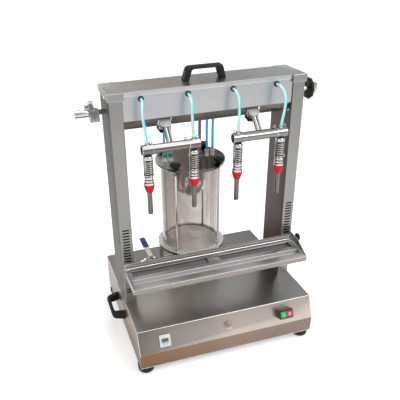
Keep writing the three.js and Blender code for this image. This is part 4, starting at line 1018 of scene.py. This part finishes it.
def vessel_walls():
    inner = GLASS_RADIUS - GLASS_THICK
    turned("vessel_wall", [(inner, GLASS_LOW), (GLASS_RADIUS, GLASS_LOW), (GLASS_RADIUS, GLASS_HIGH),
                           (inner, GLASS_HIGH), (inner, GLASS_LOW)],
           VESSEL_CENTRE, "frame", glass, 120, 40, "vessel_glass")
    for k, (low, high) in enumerate(((229.05, 232.5), (512.5, 515.95)), 1):
        turned(f"vessel_seal_{k}", [
            (96.1, low), (97.6, low), (98.2, low + 0.6), (98.2, high - 0.6), (97.6, high), (96.1, high),
            (96.1, low),
        ], VESSEL_CENTRE, "frame", seal, 96)


def vessel_plate(name, profile, material, node):
    plate = turned(name, profile, VESSEL_CENTRE, "frame", material, 120, 40, node)
    # painted shade on the plates' upright rims
    refinish(plate, rim_painted_shade, lambda face: abs(face.normal.z) < 0.4)


def vessel_floor():
    rim = FLANGE_RADIUS - 1
    vessel_plate("vessel_floor", [
        (0, FLANGE_LOW), (rim, FLANGE_LOW), (FLANGE_RADIUS, FLANGE_LOW + 1), (FLANGE_RADIUS, 228),
        (rim, GLASS_LOW), (90, GLASS_LOW), (88, 228.4), (20, 228.4), (14, 226.6), (0, 226.4),
    ], lid_floor, "vessel_base")


def vessel_cover():
    rim, low = FLANGE_RADIUS - 1, GLASS_HIGH + 0.1
    vessel_plate("vessel_cover", [
        (0, low), (88, low), (rim, low), (FLANGE_RADIUS, low + 1), (FLANGE_RADIUS, 524.9), (rim, LID_TOP),
        (0, LID_TOP),
    ], lid_steel, "vessel_lid")


def tie_rod(k, x, y):
    rod = [(0, 219.2), (3.1, 219.2), (ROD_RADIUS, 219.8), (ROD_RADIUS, THREAD_LOW)]
    z = THREAD_LOW
    while z < THREAD_HIGH:
        rod += [(ROD_RADIUS - 0.5, z + 0.5), (ROD_RADIUS, z + 1)]
        z += 1
    rod += [(2.8, THREAD_HIGH + 0.5), (0, THREAD_HIGH + 0.5)]
    # the rods other than the first get a paler, less metallic finish as painted light
    turned(f"tie_rod_{k}", rod, (x, y, 0), "frame", chrome if k == 1 else rod_painted_light, 16, 30)
    bm = bmesh.new()
    hexagon(bm, (x, y, GLASS_LOW), 11, 5.5)
    finish_mesh(f"tie_nut_{k}", bm, "frame", machined, 30)


def lid_knob(k, x, y):
    bm = bmesh.new()
    fluted(bm, [
        (0, 0.2, 0), (9.4, 0.2, 0), (10, 0.8, 0), (10, 5, 0), (12, 5.6, 0.3), (16.4, 6.4, 1), (17, 7.4, 1),
        (17, 12.6, 1), (16.2, 13.8, 1), (13, 16.4, 0.4), (7, 17.9, 0), (0, 18, 0),
    ], (x, y, LID_TOP), UP, 10, 1.8)
    finish_mesh(f"lid_nut_cap_{k}", bm, f"lid_nut_{k}", black, 50, f"lid_knob_{k}")


def float_ball():
    """A hollow ball with a raised weld seam round its middle and a stem on top."""
    steps = 30
    arc = [pi * k / steps for k in range(steps)]
    ball = [(FLOAT_RADIUS * sin(t), -FLOAT_RADIUS * cos(t)) for t in arc]
    ball += [(5.4, FLOAT_RADIUS - 0.4), (5, FLOAT_RADIUS + 0.4), (5, FLOAT_STEM_TOP), (0, FLOAT_STEM_TOP)]
    ball.insert(steps // 2 + 1, (FLOAT_RADIUS, 0.9))
    turned("float_sphere", ball, (0, VESSEL_Y, FLOAT_MIDDLE), "float", mirror, 72, 40, "float_ball")


def vessel():
    vessel_walls()
    vessel_floor()
    for k, (x, y) in enumerate(ROD_PLACES, 1):
        tie_rod(k, x, y)
    for k, (a, b) in enumerate(((-1, 0), (1, 0), (0, -1), (0, 1)), 1):
        turned(f"vessel_leg_{k}", [
            (0, BASE_TOP), (8, BASE_TOP), (8, BASE_TOP + 2), (6.5, BASE_TOP + 3), (6.5, 217), (6, FLANGE_LOW),
            (0, FLANGE_LOW),
        ], (LEG_CIRCLE * a, VESSEL_Y + LEG_CIRCLE * b, 0), "frame", machined, 24)
    vessel_cover()
    for k, (x, y) in enumerate(ROD_PLACES, 1):
        lid_knob(k, x, y)
    fittings()
    float_ball()


FITTINGS = ((-86.25, 553, fitting_white, green_cap), (-66.75, 553, fitting_white, green_cap),
            (53.75, 547, fitting_white, pink_cap), (73.25, 547, fitting_white, pink_cap),
            (30, 547, machined, grey))


def fittings():
    for k, (x, top, material, collar) in enumerate(FITTINGS, 1):
        bm = bmesh.new()
        hexagon(bm, (x, FITTING_Y, FITTING_LOW), 13, 5)
        turned_mesh(bm, [(5.6, 531), (5.6, 535), (6.2, 535.5), (6.2, 540.5), (5.4, 541), (4.2, 541)],
                    (x, FITTING_Y, 0), sides=28)
        finish_mesh(f"lid_fitting_{k}", bm, "frame", material, 35)
        turned(f"fitting_collar_{k}", [(4.2, 540.6), (6.8, 540.6), (7.2, 541.2), (7.2, top - 1.4), (6.4, top),
                                       (4.4, top + 0.2), (4.2, top - 0.4)],
               (x, FITTING_Y, 0), "frame", collar, 28, 35)
    x, y, z = 4, VESSEL_Y - 22, 537.6
    bm = bmesh.new()
    hexagon(bm, (x, y, FITTING_LOW), 14, 5)
    sweep(bm, [(x, y, 530), (x, y, 533), (x - 0.8, y, 536), (x - 3, y, 537.4), (x - 7, y, z), (x - 17, y, z)],
          [5.4, 5.4, 5.4, 5.2, 5, 5], 20)
    turned_mesh(bm, [(5, 0), (6.4, 0.4), (6.4, 3.4), (5, 4)], (x - 14, y, z), ALONG_X, 24)
    finish_mesh("lid_elbow", bm, "frame", machined, 35)


# gauge, switch and bleed knob, in the leaning front's own frame: across, up the slope, outwards
GAUGE_PARTS = (
    ("gauge_face", gauge_face, (-12.4, 12.4), (-13.9, 13.9), (4.45, 4.9), 0.2),
    ("gauge_display", display, (-10.6, 10.6), (-4.6, 7.6), (4.8, 5.5), 0.3),
    ("gauge_strip", strip_blue, (-10.6, 10.6), (-8.2, -6), (4.8, 5.2), 0.1),
    ("gauge_key_1", grey_key, (-8.2, -1.8), (-12.6, -9.6), (4.8, 5.6), 0.4),
    ("gauge_key_2", grey_key, (1.8, 8.2), (-12.6, -9.6), (4.8, 5.6), 0.4),
)


def on_front(bm, across, down):
    """Takes a mesh from the leaning front's frame to the machine's."""
    lean = atan2(FOLD_OUT, FOLD_DROP)
    turn = Matrix.Rotation(pi / 2 - lean, 4, "X")
    move = Matrix.Translation((across, BASE_FRONT - sin(lean) * down, BASE_TOP - cos(lean) * down))
    bmesh.ops.transform(bm, matrix=move @ turn, verts=bm.verts)


def gauge():
    copy_of("vacuum_gauge", "gauge_case", white, "frame", 0.7, slot="white_plastic")
    for name, material, x, y, z, bevel in GAUGE_PARTS:
        bm = bmesh.new()
        add_box(bm, x, y, z, bevel)
        on_front(bm, GAUGE_X, GAUGE_DOWN)
        finish_mesh(name, bm, "frame", material)
    display_figures("0.00")


def display_figures(text):
    """Seven-segment noughts and their point, standing a hair proud of the display."""
    width, height, thick, gap = 2.9, 6.4, 0.75, 0.15
    out = (5.5, 5.62)
    top, upper = (height / 2 - thick, height / 2), (0.25, height / 2 - thick - gap)
    bottom, lower = (-height / 2, -height / 2 + thick), (-height / 2 + thick + gap, -0.25)
    bm = bmesh.new()
    x = -6.6
    for sign in text:
        if sign == ".":
            add_box(bm, (x - 0.4, x + 0.4), bottom, out)
            x += 1.6
            continue
        left, right, whole = (x, x + thick), (x + width - thick, x + width), (x, x + width)
        for across, up in ((whole, top), (right, upper), (right, lower), (whole, bottom), (left, lower),
                           (left, upper)):
            add_box(bm, across, up, out)
        x += width + 1.5
    on_front(bm, GAUGE_X, GAUGE_DOWN - 1.5)
    finish_mesh("display_figures", bm, "frame", figure_black)


def key_marks():
    """The I on the start key and the O on the stop key."""
    low, high = 25.9, 26.25
    stroke = bmesh.new()
    add_box(stroke, (-KEY_X - 0.7, -KEY_X + 0.7), (-4.4, 4.4), (low, high))
    ring = bmesh.new()
    turned_mesh(ring, [(4.4, low), (4.4, high), (3.1, high), (3.1, low), (4.4, low)], (KEY_X, 0, 0))
    for name, body, bm in (("start_mark", "start_key", stroke), ("stop_mark", "stop_key", ring)):
        on_front(bm, SWITCH_X, SWITCH_DOWN)
        finish_mesh(name, bm, body, mark_white)


def controls():
    gauge()
    copy_of("switch_box", "switch_case", box_black, "frame", slot="black_plastic")
    copy_of("start_button", "start_key_cap", green_key, "start_key", 0.8, 3, slot="green_key")
    copy_of("stop_button", "stop_key_cap", red_key, "stop_key", 0.8, 3, slot="red_key")
    copy_of("bleed_knob", "bleed_knob_cap", brass_dull, "bleed_screw", 0.5, slot="polished_steel")
    key_marks()


# drain, handles and feet
def drain():
    x, y, z = DRAIN_X, DRAIN_Y, STRAP_LOW
    copy_of("drain_valve", "drain_valve_body", chrome, "frame", 0.5, slot="polished_steel")
    bm = bmesh.new()
    add_box(bm, (x - 7.5, x + 7.5), (y - 7.5, y + 107), (z, z + 3), 0.8)
    hexagon(bm, (x, y, z + 3), 13, 4.6)
    turned_mesh(bm, [(2.6, 0), (2.6, 5), (2.1, 5.4), (0, 5.4)], (x, y, z + 2.4), sides=20)
    finish_mesh("drain_strap", bm, "drain_handle", bright_steel_and_highlight, 35, "drain_lever")
    bm = bmesh.new()
    add_box(bm, (x - 10, x + 10), (y + 50, y + 112), (z - 3.5, z + 6.5), 3.6, 4)
    finish_mesh("drain_grip", bm, "drain_handle", navy, 60, "drain_lever")


def handles_and_feet():
    for name in ("top_handle", "handle_left", "handle_right"):
        copy_of(name, f"{name}_grip", black, "frame", 2.2, 3, slot="black_plastic")
    for name in ("foot_front_left", "foot_front_right", "foot_back_left", "foot_back_right"):
        low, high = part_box(name)
        middle = (low + high) / 2 * TO_MM - SHIFT
        turned(f"{name}_pad", [
            (0, 0), (16.4, 0), (17, 0.5), (20.4, 1.6), (23.4, 5.5), (24.7, 10), (25, 12.5), (24.6, 14.4),
            (23.2, 15.4), (22.6, 16.6), (23.6, 17.6), (24.8, 18.6), (25, 20), (25, 24), (24.4, 24.8),
            (0, 24.8),
        ], (middle.x, middle.y, 0), "frame", rubber, 48, 50, name)


# bottle shelf
def drip_ribs():
    """The ribbed drip sheet under the windows, with a flat underside."""
    rows = []
    y = RIBS_FRONT
    while y <= RIBS_BACK:
        for dy, z in ((0, RIB_LOW), (0.9, RIB_LOW), (1.3, RIB_HIGH), (2.3, RIB_HIGH), (2.7, RIB_LOW)):
            if y + dy <= RIBS_BACK - 0.2:
                rows.append((y + dy, z))
        y += RIB_PITCH
    rows += [(rows[-1][0], RIBS_UNDERSIDE), (rows[0][0], RIBS_UNDERSIDE)]
    bm = bmesh.new()
    drawn_out(bm, rows, RIBS_HALF_WIDTH, True)
    finish_mesh("drip_ribs", bm, "shelf", rib_steel, 20)


def shelf_clamp():
    bm = bmesh.new()
    fluted(bm, [
        (0, 0.2, 0), (6.5, 0.2, 0), (6.8, 1.2, 0.1), (11.8, 1.8, 0.8), (13, 3, 1), (13, 8, 1), (12.2, 9.4, 1),
        (7, 10, 0.2), (0, 10, 0),
    ], (SHELF_KNOB_X, SHELF_KNOB_Y, SHELF_KNOB_Z), ALONG_X, 8, 2.4)
    finish_mesh("shelf_clamp_knob", bm, "shelf_clamp", black, 50, "shelf_knob")
    stud_foot = (SHELF_KNOB_X - 5.9, SHELF_KNOB_Y, SHELF_KNOB_Z)
    bm = bmesh.new()
    turned_mesh(bm, [(0, 0), (3, 0), (3, 6.6), (0, 6.6)], stud_foot, ALONG_X, 20)
    turned_mesh(bm, [(3, 0), (6.2, 0), (6.2, 2.2), (3, 2.2)], stud_foot, ALONG_X, 6)
    finish_mesh("shelf_clamp_stud", bm, "shelf_clamp", chrome, 35, "shelf_knob")


def ledge_fold_highlight():
    """The round of the ledge's front fold in bright steel, a painted highlight."""
    bm = bmesh.new()
    sweep(bm, [(x, LEDGE_Y, LEDGE_Z) for x in (-279, -140, 0, 140, 279)], 1.5, 12)
    finish_mesh("ledge_fold_highlight", bm, "shelf", bright_steel_and_highlight)


# screws in the posts' inner faces and the beam's left end, with the side that each head faces
SCREW = [(0, -1), (2, -1), (2, 0.02), (4.2, 0.02), (4.2, 0.8), (3.4, 1.9), (1.9, 2.4), (1.7, 1.2), (0, 1.2)]
SCREWS = [(-way * POST_INSIDE, y, z, way) for way in (-1, 1) for y, z in ((-60, 700), (-60, 560), (30, 600))]
SCREWS += [(BEAM_END, y, 786, -1) for y in (-39, 27)]


def screws():
    """Pan-head screws that hold the beam and the guides."""
    for k, (x, y, z, way) in enumerate(SCREWS, 1):
        turn = Vector((0, 0, 1)).rotation_difference(Vector((way, 0, 0))).to_matrix()
        turned(f"post_screw_{k}", SCREW, (x, y, z), "frame", bright_steel_and_highlight, 24, 35, turn=turn)


def kept_nodes():
    """The CAD shapes that stay, each with its own material."""
    paint("base_plate", steel_back)
    for name, material in (("left_vessel_tubes", blue), ("right_vessel_tubes", blue), ("vessel_hose", grey),
                           ("grommet_strip", rubber), ("vacuum_pump", cast)):
        paint(name, material)
        smooth(nodes[name].data, 35)


kept_nodes()
sheet_metal()
nozzles()
bars()
arms_and_shaft()
vessel()
controls()
drain()
handles_and_feet()
drip_ribs()
shelf_clamp()
ledge_fold_highlight()
screws()

# studio, in metres
FLOOR_REACH = 6
BEND_START = 2.2
BEND_RADIUS = 0.9
WALL_TOP = 1.15
LAMPS = (
    ("key", (1.3, -1.7, 2.2), 1.8, 34),
    ("fill", (-1.9, -1.3, 1.5), 1.6, 9),
    ("top", (0.1, 0.3, 2.4), 1.6, 20),
)


def pale_floor():
    """A floor that bends up into a low wall behind the machine."""
    profile = [(-FLOOR_REACH, 0), (BEND_START, 0)]
    profile += [(BEND_START + BEND_RADIUS * sin(t), BEND_RADIUS - BEND_RADIUS * cos(t))
                for t in (pi / 2 * k / 10 for k in range(1, 11))]
    profile.append((BEND_START + BEND_RADIUS, WALL_TOP))
    bm = bmesh.new()
    drawn_out(bm, profile, FLOOR_REACH, False)
    mesh = new_mesh("floor", bm)
    mesh.shade_smooth()
    floor = new_object("floor", mesh)
    look = Look("pale floor", Roughness=0.9, Base_Color=(0.93, 0.93, 0.93, 1), Emission_Color=(1, 1, 1, 1))
    rays = look.node("LightPath")
    seen = look.math("MAXIMUM", rays.outputs["Is Camera Ray"], rays.outputs["Is Transmission Ray"])
    seen = look.math("MAXIMUM", seen, rays.outputs["Is Glossy Ray"])
    look.link(look.math("MULTIPLY", seen, 0.3), look.shader.inputs["Emission Strength"])
    mesh.materials.append(look.material)


def sky():
    """A soft room light: brighter overhead and in front, warmer on the left."""
    space = bpy.data.worlds.new("studio")
    scene.world = space
    space.use_nodes = True
    room = Tree(space.node_tree)
    where = room.node("TexCoord")
    x, y, z = room.split(where.outputs["Generated"])
    height = room.ramp(room.span(z, 0, 1, 0, 1), (0, 0.7), (0.3, 0.62), (0.62, 0.7), (0.9, 1))
    depth = room.ramp(room.span(y, 0, 1, -1, 1), (0, 1), (0.45, 0.9), (0.8, 0.72), (1, 0.64))
    side = room.ramp(room.span(x, 0, 1, -1, 1), (0, (0.97, 0.88, 0.78)), (0.45, (0.99, 0.98, 0.97)),
                     (0.6, 1), (1, (0.94, 0.98, 1.05)))
    back = room.tree.nodes["Background"]
    room.link(room.times(room.times(height, depth), side), back.inputs["Color"])
    back.inputs["Strength"].default_value = 1


def lamps():
    low, high = cad_box
    middle = (low + high) / 2
    for name, place, size, power in LAMPS:
        lamp = bpy.data.lights.new(name, "AREA")
        lamp.size = size
        lamp.energy = power
        placed = new_object(name, lamp)
        placed.location = place
        placed.rotation_euler = (middle - Vector(place)).to_track_quat("-Z", "Y").to_euler()


pale_floor()
sky()
lamps()
scene.view_settings.view_transform = "Standard"
